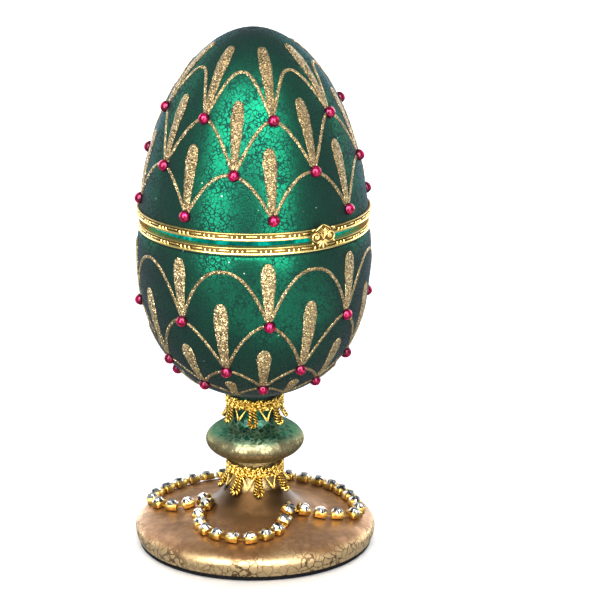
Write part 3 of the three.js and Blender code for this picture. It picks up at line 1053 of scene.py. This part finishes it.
def rim_ornament(radius, low, high):
    """Groups of three teeth in the channel, and a long low boss between two groups."""
    tooth = stretched(ball("tooth", 10, 8), 0.42 * MM, 0.42 * MM, 0.62 * MM)
    boss = ball("boss", 14, 8)
    shape(boss, lambda co: Vector((math.copysign(abs(co.x) ** 0.5, co.x), co.y, co.z)))
    stretched(boss, 2 * MM, 0.32 * MM, 0.26 * MM)
    floor, channel_low, channel_high = radius - CHANNEL_DEPTH, low + 2 * THICK_BEAD, high - 2 * THIN_BEAD
    tooth_place = Matrix.Translation((0, -floor - 0.08 * MM, channel_low + 0.3 * MM))
    boss_place = Matrix.Translation((0, -floor, (channel_low + channel_high) / 2))
    parts = []
    for k in range(RIM_GROUPS):
        group = TAU * k / RIM_GROUPS
        for step in (-1, 0, 1):
            turn = Matrix.Rotation(group + step * 1.65 * MM / radius, 4, "Z")
            parts.append(copy_to(tooth, "tooth", turn @ tooth_place))
        turn = Matrix.Rotation(group + math.pi / RIM_GROUPS, 4, "Z")
        parts.append(copy_to(boss, "boss", turn @ boss_place))
    discard(tooth, boss)
    return parts


def rim_band(name, radius, low, high, flange_up):
    """One stamped rim, with its hollows and its flange marked."""
    band = turned("band", rim_section(radius, low, high, flange_up), 256)
    piece = smooth(join(name, [band, *rim_ornament(radius, low, high)]), 45)

    def on_flange(co):
        return radius - from_axis(co) > 0.7 * MM

    def depth(co):
        if on_flange(co):
            return 0.3
        # The thin top bead is marked too, so that it takes painted shade though it is no hollow.
        thin = 0.6 if co.z > high - 1.9 * THIN_BEAD else 0
        return max(thin, (radius - from_axis(co) - 0.22 * MM) / (0.3 * MM))

    mark(piece, "recess", depth)
    mark(piece, "shelf", on_flange)
    return piece


class EGGBOX_OT_rims(bpy.types.Operator):
    """Stamps the two gilt rims"""

    bl_idname = "egg_box.rims"
    bl_label = "Rims"

    def execute(self, context):
        material = once("stamped_gilding", stamped_gilding, context.scene.egg_gilt)
        for node, body, flange_up in (("lower_rim", "stand", True), ("upper_rim", "lid", False)):
            piece = rim_band(f"{node}_stamped", *span(node), flange_up)
            wear(piece, body, material, "gilt_metal", node)
        return {"FINISHED"}


# ---- hinge ----

KNUCKLE_RADIUS, KNUCKLE_HALF, KNUCKLE_GAP = 1.15 * MM, 2 * MM, 0.2 * MM
HINGE_EDGE = 0.12 * MM


def slab(name, low, high):
    """A box between two corners with its edges softened."""
    low, high = Vector(low), Vector(high)
    piece = add(name, "cube", size=1, location=(low + high) / 2)
    piece.scale = high - low
    return softened(settle(piece), HINGE_EDGE, segments=2)


def barrel(name, radius, start, end, axis, soft=HINGE_EDGE):
    """A round bar along X with softened ends, from the Y and Z of its axis."""
    piece = add(name, "cylinder", vertices=32, radius=radius, depth=end - start,
                location=((start + end) / 2, *axis), rotation=(0, math.pi / 2, 0))
    return softened(settle(piece), soft, segments=2, angle_limit=math.radians(60))


def hinge_leaf(node, axis):
    """A plate on one rim with its knuckles: the outer two on the lower rim, the middle one on the upper."""
    low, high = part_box(node)
    half = high.x
    if node == "hinge_lower_leaf":
        plate, edge = (low.z, low.z + 2 * MM), low.z + 2 * MM
        spans = [(-half, -KNUCKLE_HALF - KNUCKLE_GAP), (KNUCKLE_HALF + KNUCKLE_GAP, half)]
    else:
        plate, edge = (high.z - 2.2 * MM, high.z), high.z - 2.2 * MM
        spans = [(-KNUCKLE_HALF, KNUCKLE_HALF)]
    parts = [slab("leaf", (-half, low.y, plate[0]), (half, low.y + 0.7 * MM, plate[1]))]
    web_low, web_high = sorted((axis[1], edge))
    for start, end in spans:
        parts.append(barrel("knuckle", KNUCKLE_RADIUS, start, end, axis))
        parts.append(slab("web", (start + HINGE_EDGE, low.y + 0.2 * MM, web_low - 0.4 * MM),
                          (end - HINGE_EDGE, axis[0], web_high + 0.4 * MM)))
    return smooth(join(node + "_gilt", parts))


def hinge_pin(low, high, axis):
    """The pin with a flat head at each end."""
    parts = [barrel("pin", 0.6 * MM, low + 0.2 * MM, high - 0.2 * MM, axis)]
    for start, end in ((low, low + 0.5 * MM), (high - 0.5 * MM, high)):
        parts.append(barrel("head", 1 * MM, start, end, axis, 0.2 * MM))
    return smooth(join("hinge_pin_gilt", parts))


class EGGBOX_OT_hinge(bpy.types.Operator):
    """Makes the hinge: a leaf on each rim and three knuckles on a pin"""

    bl_idname = "egg_box.hinge"
    bl_label = "Hinge"

    def execute(self, context):
        material = once("stamped_gilding", stamped_gilding, context.scene.egg_gilt)
        low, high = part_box("hinge_pin")
        axis = ((low.y + high.y) / 2, (low.z + high.z) / 2)
        for node, body in (("hinge_lower_leaf", "stand"), ("hinge_upper_leaf", "lid")):
            wear(hinge_leaf(node, axis), body, material, "gilt_metal", node)
        wear(hinge_pin(low.x, high.x, axis), "stand", material, "gilt_metal", "hinge_pin")
        return {"FINISHED"}


# ---- clasp: its face stands in the XZ plane and faces -Y ----

# How thick its ground is, and how high over its lower end the scrolls' stems and the petals start.
GROUND, STEM = 0.8 * MM, 3.4 * MM


def sunk(height):
    """How much painted shade a point of a relief of that height takes, from 0 on its crown to 1 at its foot.
    """
    return lambda co: (1 + co.y / height - 0.3) / 0.6


def ridge(name, points, half_width, height):
    """A rounded ridge through points of the clasp's face, tapered at its ends."""
    centres = np.array([(x, 0, z) for x, z in points])
    out = np.tile((0.0, -1.0, 0.0), (len(centres), 1))
    taper = np.sqrt(np.sin(np.linspace(0.12, math.pi - 0.12, len(centres))))
    piece = drawn_out(name, centres, crossways(centres, out), out, half_width * taper, height * taper,
                      0.3 * MM, 8)
    mark(piece, "recess", sunk(height))
    return piece


def volute(centre, side, radius, turns):
    """Points of a scroll that winds in from its lower side to its middle."""
    for share in shares(44):
        reach = radius * (1 - 0.78 * share)
        angle = -math.pi / 3 - TAU * turns * share
        yield centre[0] - side * reach * math.cos(angle), centre[1] + reach * math.sin(angle)


def knob(name, x, z, radius, height):
    """A round boss on the clasp's face."""
    piece = ball(name, 16, 10)
    shape(piece, lambda co: Vector((x + co.x * radius, co.y * height, z + co.z * radius)))
    mark(piece, "recess", sunk(height))
    return piece


def disc(name, x, z, radius, thick, sides):
    """A flat disc of the clasp's ground, whose back lies level with the others'."""
    piece = add(name, "cylinder", vertices=sides, radius=radius, depth=thick, rotation=(math.pi / 2, 0, 0))
    settle(piece)
    # The whole ground takes painted shade.
    mark(piece, "recess", lambda co: 1)
    return shape(piece, lambda co: co + Vector((x, GROUND - thick / 2, z)))


def clasp_gable(top, relief):
    """Nested chevrons under a gable of two slopes."""
    parts = []
    for k in range(4):
        wide = (2.75 - 0.58 * k) * MM
        shoulder = top - (2.0 - 0.36 * k) * MM
        point = top - (3.9 - 0.66 * k) * MM
        middle = (shoulder + point) / 2
        line = [(-wide, shoulder), (-wide * 0.5, middle), (0, point), (wide * 0.5, middle), (wide, shoulder)]
        parts.append(ridge("chevron", through(line, 6), 0.21 * MM, relief * 0.8))
    for side in (-1, 1):
        line = [(0, top + 0.1 * MM), (side * 1.6 * MM, top - 0.75 * MM), (side * 3.1 * MM, top - 1.9 * MM)]
        parts.append(ridge("gable", through(line, 6), 0.26 * MM, relief * 0.75))
    return parts


def clasp_scroll(side, foot, middle, size, relief):
    """One side's scroll with its eye, its stem and the berries beside it."""
    scroll_x, scroll_z = side * middle[0], middle[1]
    stem = [(0, foot + STEM), (side * 0.5 * MM, scroll_z + 0.2 * MM), (side * 0.9 * MM, scroll_z + 1.5 * MM)]
    winding = list(volute((scroll_x, scroll_z), side, size - 0.1 * MM, 1.35))
    parts = [ridge("stem", through(stem, 6), 0.24 * MM, relief * 0.8),
             ridge("scroll", winding, 0.31 * MM, relief * 0.9),
             knob("eye", scroll_x, scroll_z, 0.62 * MM, relief * 0.95)]
    for x, z, radius in ((4.15, 6.9, 0.42), (3.45, 7.1, 0.34), (4.2, 2.6, 0.36)):
        parts.append(knob("berry", side * x * MM, foot + z * MM, radius * MM, relief * 0.8))
    return parts


def clasp_fan(foot, relief):
    """Five petals that spread downwards from the stem."""
    parts = []
    for lean in (-1.15, -0.62, 0, 0.62, 1.15):
        reach = (3.1 - abs(lean) * 0.35) * MM
        line = [(math.sin(lean) * reach * share, foot + STEM - math.cos(lean) * reach * share)
                for share in (0.12, 0.35, 0.6, 0.8, 1)]
        parts.append(ridge("petal", through(line, 4), 0.44 * MM, relief * 0.75))
    return parts


class EGGBOX_OT_clasp(bpy.types.Operator):
    """Stamps the clasp: a gable of nested chevrons between two scrolls, over a fan of petals"""

    bl_idname = "egg_box.clasp"
    bl_label = "Clasp"

    def execute(self, context):
        low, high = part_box("clasp")
        relief = high.y - low.y - GROUND
        scroll_x, scroll_z, scroll = 2.75 * MM, low.z + 4.5 * MM, 1.9 * MM
        top = high.z - 0.25 * MM
        layer = 0.03 * MM
        parts = []
        for depth, x, z, radius, sides in (
                (0, -scroll_x, scroll_z, scroll, 32), (0, scroll_x, scroll_z, scroll, 32),
                (1, 0, low.z + 2.6 * MM, 2.3 * MM, 32), (2, 0, top - 3 * MM, 3.05 * MM, 4),
                (3, 0, scroll_z, 2.7 * MM, 32)):
            parts.append(disc("ground", x, z, radius, GROUND - depth * layer, sides))
        parts += clasp_gable(top, relief)
        for side in (-1, 1):
            parts += clasp_scroll(side, low.z, (scroll_x, scroll_z), scroll, relief)
        parts += clasp_fan(low.z, relief)
        face = low.y + relief

        def seat(co):
            return Vector((min(high.x, max(low.x, co.x)), min(high.y, co.y + face),
                           min(high.z, max(low.z, co.z))))

        piece = smooth(shape(join("clasp_stamped", parts), seat), 50)
        dull = gilding("clasp_gilding", (0.68, 0.50, 0.19), (0.48, 0.33, 0.10), 0.52, (0.09, 0.05, 0.012))
        wear(piece, "lid", dull, "gilt_metal", "clasp")
        return {"FINISHED"}


# ---- braid collars ----

# For each collar: the bearings of its lobes, how the lobes curve out, and how far.
COLLARS = {
    "upper": ((-94, -38, 19, 69, 120, 171, 220), 1.9, 2.6 * MM),
    "lower": ((-121, -70, -27, 30, 83, 134, 186), 1.5, 3.9 * MM),
}
WIRE = 0.22 * MM


def cord(name, path, strand, pitch, phase=0.0):
    """Two strands twisted together along a path of (point, way out) pairs."""
    centres, outs = parted(path)
    run = run_along(centres)
    count = max(8, int(run[-1] / pitch * 8))
    even = np.linspace(0, run[-1], count + 1)
    centres, outs = (np.stack([np.interp(even, run, values[:, k]) for k in range(3)], axis=1)
                     for values in (centres, outs))
    ahead = np.gradient(centres, axis=0)
    ahead /= np.linalg.norm(ahead, axis=1)[:, None]
    across = crossways(centres, outs)
    outs = np.cross(across, ahead)
    width = np.full(count + 1, strand)

    def depth(co):
        away = np.linalg.norm(centres - np.array(co), axis=1).min()
        return 1 - (away - 0.8 * strand) / (0.7 * strand)

    strands = []
    for side in (0, math.pi):
        angle = (even / pitch * TAU + phase + side)[:, None]
        helix = centres + (np.cos(angle) * across + np.sin(angle) * outs) * strand * 0.85
        strands.append(drawn_out(name, helix, across, outs, width, width, strand, 6))
        mark(strands[-1], "recess", depth)
    return strands


class Collar:
    """One braid collar: a plaited band, the loops that hang from it and the wires between them."""

    def __init__(self, node, lobes, drop, flare, strand):
        low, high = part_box(node)
        self.top, self.hem = high.z, low.z
        self.band = self.top - 3.3 * MM
        self.long = self.band - self.hem
        self.lobes = [math.radians(bearing) for bearing in lobes]
        self.drop = drop
        self.flare = flare
        self.strand = strand
        self.thick = strand * 3.7
        self.pitch = strand * 4.2
        self.radius = NECK_RADIUS + self.thick / 2

    def at(self, bearing, across, down, lift=0.0):
        """A point below the band's lower edge, leaning out with the flare, and the way out there."""
        share = max(0, down / self.long)
        reach = self.radius + self.flare * share**self.drop + lift
        turn = bearing + across / reach
        out = Vector((math.sin(turn), -math.cos(turn), 0))
        slope = self.flare * self.drop * share ** (self.drop - 1) / self.long if share > 0 else 0
        return out * reach + Vector((0, 0, self.band - down)), (out + Vector((0, 0, slope))).normalized()

    def round(self, waves, height, swing, lift, phase=0.0):
        """A cord once round the band, at a height above its lower edge, swinging up and down in waves."""
        path = [self.at(TAU * share, 0, -height - swing * math.sin(TAU * share * waves + phase), lift)
                for share in shares(360)]
        return cord("ring", path, self.strand, self.pitch, phase)

    def make(self):
        """All the cords and wires of the collar."""
        high = self.top - self.band - self.thick / 2
        parts = []
        for height in (0.2 * MM, high - 0.4 * MM):
            parts += self.round(0, height, 0, 0)
        for phase in (0, math.pi):
            parts += self.round(15, high / 2, high / 2 + 0.2 * MM, 0.25 * MM, phase)
        loop = self.loop()
        after = [*self.lobes[1:], self.lobes[0] + TAU]
        for k, (bearing, following) in enumerate(zip(self.lobes, after)):
            parts += cord("lobe", [self.at(bearing, x, y) for x, y in loop], self.strand, self.pitch, k)
            parts += self.vee((bearing + following) / 2, (following - bearing) / 2 * self.radius)
        return parts

    def loop(self):
        """The line of a lobe: two cords side by side that part round a small eye at the lower end."""
        stem, eye = self.thick * 0.4, self.thick * 0.68
        bend = self.long - self.thick / 2 - eye
        tuck = 0.5 * MM
        right = []
        for share in shares(8):
            spread = max(0, share - 0.6) / 0.4
            right.append((stem + (eye - stem) * spread**1.5, -tuck + (bend + tuck) * share))
        left = [(-x, y) for x, y in right]
        return left + list(arc((0, bend), (eye, eye), math.pi, 0, 8))[1:-1] + right[::-1]

    def vee(self, bearing, half):
        """A pair of smooth wires hanging in a point between two lobes."""
        wires = []
        reach = min(2.6 * MM, half - 0.4 * MM)
        side, middle, point = reach * 0.55, self.long * 0.62 * 0.42, self.long * 0.62
        for inset in (0, 0.62 * MM):
            top = inset - 0.4 * MM
            line = [(-reach, top), (-side, middle), (0, point - inset), (side, middle), (reach, top)]
            path = [self.at(bearing, x * (1 - 0.12 * inset / MM), y, 0.25 * MM) for x, y in through(line, 6)]
            wires.append(rod("wire", path, WIRE, WIRE, WIRE, 8))
        return wires


class EGGBOX_OT_collars(bpy.types.Operator):
    """Braids the two gilt collars round the necks"""

    bl_idname = "egg_box.collars"
    bl_label = "Braid collars"

    def execute(self, context):
        gilt = context.scene.egg_gilt
        material = braid_gold(gilt)
        for name, form in COLLARS.items():
            collar = Collar(f"{name}_collar", *form, gilt.strand)
            piece = smooth(join(f"{name}_braid", collar.make()), 60)
            wear(piece, "stand", material, "gilt_metal", f"{name}_collar")
        return {"FINISHED"}


# ---- stone chain ----

CUP_SIDE, CUP_HEIGHT, CUP_PITCH, CUP_LIFT = 4.1 * MM, 2.1 * MM, 6 * MM, 0.35 * MM
# The chain's way round the foot: distances from its middle in millimetres, and bearings in degrees.
CHAIN_ROUTE = [
    (35, 145.5), (36.5, 175.5), (37.2, 205.5), (36, 222.5), (29, 234.5), (20, 232.5), (15.4, 246.5),
    (22, 267.5), (28.5, 293.5), (30.3, 319.5), (26, 339), (18.6, 359.5), (15.6, 375), (22, 394.5),
    (32, 402.5), (35.2, 412.5), (34, 437.5), (33.5, 465.5),
]


def chain_line():
    """The chain's closed way round the foot, as points in the plane."""
    knots = [(r * MM * math.sin(math.radians(bearing)), -r * MM * math.cos(math.radians(bearing)))
             for r, bearing in CHAIN_ROUTE]
    line = []
    for k in range(len(knots)):
        around = [knots[(k + step) % len(knots)] for step in (-1, 0, 1, 2)]
        line += [hermite(*around, share) for share in shares(40)[:-1]]
    return np.array(line + [line[0]])


def chain_places():
    """Where each cup of the chain sits: a matrix with X along the chain and Z out of the foot."""
    foot = np.array(foot_line(40, 6)[::-1])
    line = chain_line()
    run = run_along(line)
    count = round(run[-1] / CUP_PITCH)

    def spot(way):
        return (float(np.interp(way % run[-1], run, line[:, axis])) for axis in (0, 1))

    def foot_height(radius):
        return float(np.interp(radius, foot[:, 0], foot[:, 1]))

    places = []
    for k in range(count):
        way = run[-1] * k / count
        x, y = spot(way)
        ahead_x, ahead_y = spot(way + 0.5 * MM)
        radius = math.hypot(x, y)
        rise = (foot_height(radius - CUP_SIDE / 2) - foot_height(radius + CUP_SIDE / 2)) / CUP_SIDE
        up = Vector((x / radius * rise, y / radius * rise, 1)).normalized()
        side = up.cross(Vector((ahead_x - x, ahead_y - y, 0))).normalized()
        place = Vector((x, y, foot_height(radius))) + up * CUP_LIFT
        axes = Matrix((side.cross(up), side, up)).transposed().to_4x4()
        places.append(Matrix.Translation(place) @ axes)
    return places


def setting():
    """One square cup: an open box with a claw at each corner bent over the stone."""
    cup = add("cup", "cube", size=1)
    pick_faces(cup, lambda normal: normal.z > 0.5)
    bpy.ops.mesh.inset(thickness=0.1)
    bpy.ops.mesh.extrude_region_move(TRANSFORM_OT_translate={"value": (0, 0, -0.6)})
    bpy.ops.object.mode_set(mode="OBJECT")
    shape(cup, lambda co: Vector((co.x * CUP_SIDE, co.y * CUP_SIDE, (co.z + 0.5) * CUP_HEIGHT)))
    softened(cup, 0.12 * MM, segments=1)

    def bend(co):
        up = (co.z + 1) / 2
        return Vector((2.4 * MM - 0.9 * MM * up**3 + co.x * 0.42 * MM, co.y * 0.42 * MM,
                       CUP_HEIGHT * 0.55 + up * 1.35 * MM))

    claw = shape(ball("claw", 6, 5), bend)
    claws = [copy_to(claw, "claw", Matrix.Rotation(math.pi / 4 + math.pi / 2 * k, 4, "Z")) for k in range(4)]
    discard(claw)
    return smooth(join("cup", [cup, *claws]), 50)


def brilliant():
    """A round cut stone: a table with a ring of crown facets round it, and a flat back in the cup."""
    sides, radius, crown = 16, 2.2 * MM, 1.1 * MM
    back = CUP_HEIGHT - 0.15 * MM
    stone = add("brilliant", "cylinder", vertices=sides, radius=1, depth=2)

    def cut(co):
        if co.z <= 0:
            return Vector((co.x * radius, co.y * radius, back))
        step = round(math.atan2(co.y, co.x) / (TAU / sides)) % 2
        reach = radius * (0.58 if step else 0.52)
        return Vector((co.x * reach, co.y * reach, back + crown))

    return shape(stone, cut)


def link(place, after):
    """A short bar from one cup to the next."""
    start, end = (matrix @ Vector((0, 0, 0.5 * MM)) for matrix in (place, after))
    path = [(start.lerp(end, share), place.col[2].xyz) for share in np.linspace(0.15, 0.85, 7)]
    return rod("link", path, 0.55 * MM, 0.275 * MM, 0.3 * MM, 6)


class EGGBOX_OT_chain(bpy.types.Operator):
    """Lays the chain of set stones on the foot"""

    bl_idname = "egg_box.chain"
    bl_label = "Stone chain"

    def execute(self, context):
        places = chain_places()
        cup, stone = setting(), brilliant()
        cups = [copy_to(cup, "cup", place) for place in places]
        stones = [copy_to(stone, "stone", place) for place in places]
        cups += [link(place, after) for place, after in zip(places, places[1:] + places[:1])]
        discard(cup, stone)
        brass = gilding("chain_gilding", (0.58, 0.38, 0.09), (0.34, 0.19, 0.04), 0.32)
        wear(join("chain_cups", cups), "stand", brass, "gilt_chain", "stone_chain")
        wear(join("chain_stones", stones), "stand", clear_stone(), "clear_stone")
        return {"FINISHED"}


# ---- stage ----

# For each light: its bearing from the camera's and its slope, in degrees, its distance, its width and height,
# in metres, its power, and the rays that miss it. The strips and the table's glow show in gloss alone, and
# the backdrop and the overhead light everything but gloss.
LIGHTS = {
    "left_strip": (-35, 24, 0.53, (0.25, 0.72), 6.4, "diffuse"),
    "right_strip": (24, 24, 0.53, (0.25, 0.72), 5.8, "diffuse"),
    "top_strip": (-5, 40, 0.53, (0.34, 0.3), 4, "diffuse"),
    "backdrop": (180, 14, 1.5, (2.4, 1.1), 10, "glossy"),
    "overhead": (0, 90, 2.4, (5, 5), 105, "glossy"),
    "table_glow": (24, -24.5, 0.236, (0.44, 0.21), 0.56, "diffuse"),
    "left_side": (-140, 14, 1.2, (1.2, 1), 12, "camera"),
    "right_side": (140, 14, 1.2, (1.2, 1), 13, "camera"),
}
LIGHTS_AIM = 100 * MM
DAYLIGHT, DAYLIGHT_STRENGTH = (0.85, 0.94, 1.0, 1), 0.45
# The height that the camera is set out from, how far off it stands, and its shift to the right and down.
CAMERA_FROM, CAMERA_AWAY, CAMERA_RIGHT, CAMERA_DOWN = 111 * MM, 933.3 * MM, 15.36 * MM, 24.7 * MM


class EGGBOX_OT_stage(bpy.types.Operator):
    """Lays the floor, hangs the lights and sets the camera"""

    bl_idname = "egg_box.stage"
    bl_label = "Stage"

    def execute(self, context):
        stage = context.scene.egg_stage
        self.floor(stage)
        context.scene.view_settings.view_transform = "Standard"
        world = bpy.data.worlds.new("studio")
        world.use_nodes = True
        background = world.node_tree.nodes["Background"]
        background.inputs["Color"].default_value = DAYLIGHT
        background.inputs["Strength"].default_value = DAYLIGHT_STRENGTH
        context.scene.world = world
        for name, values in LIGHTS.items():
            self.panel_light(stage, name, *values)
        self.camera(context, stage)
        return {"FINISHED"}

    def floor(self, stage):
        """A pale floor with faint clouds, which the gloss doesn't mirror."""
        floor = add("floor", "plane", size=12)
        paint = Paint("pale_floor")
        cloud = paint.noise(0.5).between(0.2, 0.8)
        colour = paint.mix(cloud * 0.04, stage.floor, (0.88, 0.88, 0.88))
        floor.data.materials.append(paint.finish(base_color=colour, roughness=0.6))
        floor.visible_glossy = False

    def panel_light(self, stage, name, bearing, elevation, distance, size, power, unseen):
        """An area light aimed at the egg; one near the floor lies flat and shines up, like a pale table."""
        azimuth, rise = stage.azimuth + math.radians(bearing), math.radians(elevation)
        level = math.cos(rise)
        back = Vector((math.sin(azimuth) * level, -math.cos(azimuth) * level, math.sin(rise)))
        bpy.ops.object.light_add(type="AREA", location=Vector((0, 0, LIGHTS_AIM)) + back * distance)
        lamp = bpy.context.object
        lamp.name = name
        lamp.data.shape = "RECTANGLE"
        lamp.data.size, lamp.data.size_y = size
        lamp.data.energy = power
        if elevation < 0:
            lamp.rotation_euler = (math.pi, 0, azimuth)
        else:
            lamp.rotation_euler = (-back).to_track_quat("-Z", "Y").to_euler()
        lamp.visible_camera = False
        setattr(lamp, f"visible_{unseen}", False)

    def camera(self, context, stage):
        """Stands the camera in front of the egg, turned and sloped as the settings say."""
        azimuth, pitch = stage.azimuth, stage.pitch
        level = math.cos(pitch)
        forward = Vector((-math.sin(azimuth) * level, math.cos(azimuth) * level, -math.sin(pitch)))
        right = Vector((math.cos(azimuth), math.sin(azimuth), 0))
        place = Vector((0, 0, CAMERA_FROM)) - forward * CAMERA_AWAY
        place = place + right * CAMERA_RIGHT - right.cross(forward) * CAMERA_DOWN
        bpy.ops.object.camera_add(location=place)
        camera = bpy.context.object
        camera.rotation_euler = forward.to_track_quat("-Z", "Y").to_euler()
        camera.data.lens = stage.lens
        camera.data.sensor_width = 36
        context.scene.camera = camera


class EGGBOX_PT_panel(bpy.types.Panel):
    """Lists the settings and the pieces of the egg box"""

    bl_idname = "EGGBOX_PT_panel"
    bl_label = "Egg Box"
    bl_space_type = "VIEW_3D"
    bl_region_type = "UI"
    bl_category = "Egg Box"

    def draw(self, context):
        for group, kind in SETTINGS.items():
            for name in kind.__annotations__:
                self.layout.prop(getattr(context.scene, group), name)
        for operator in OPERATORS:
            self.layout.operator(operator.bl_idname)


SETTINGS = {
    "egg_glass": GlassSettings,
    "egg_tracery": TracerySettings,
    "egg_gilt": GiltSettings,
    "egg_stage": StageSettings,
}
OPERATORS = (
    EGGBOX_OT_stage,
    EGGBOX_OT_felt,
    EGGBOX_OT_goblet,
    EGGBOX_OT_lid,
    EGGBOX_OT_tracery,
    EGGBOX_OT_cabochons,
    EGGBOX_OT_rims,
    EGGBOX_OT_hinge,
    EGGBOX_OT_clasp,
    EGGBOX_OT_collars,
    EGGBOX_OT_chain,
)


def register():
    for name, settings in SETTINGS.items():
        bpy.utils.register_class(settings)
        setattr(bpy.types.Scene, name, bpy.props.PointerProperty(type=settings))
    for operator in OPERATORS:
        bpy.utils.register_class(operator)
    bpy.utils.register_class(EGGBOX_PT_panel)


def unregister():
    bpy.utils.unregister_class(EGGBOX_PT_panel)
    for operator in reversed(OPERATORS):
        bpy.utils.unregister_class(operator)
    for name, settings in SETTINGS.items():
        delattr(bpy.types.Scene, name)
        bpy.utils.unregister_class(settings)


def main():
    register()
    for operator in OPERATORS:
        family, name = operator.bl_idname.split(".")
        getattr(getattr(bpy.ops, family), name)()


if __name__ == "__main__":
    main()
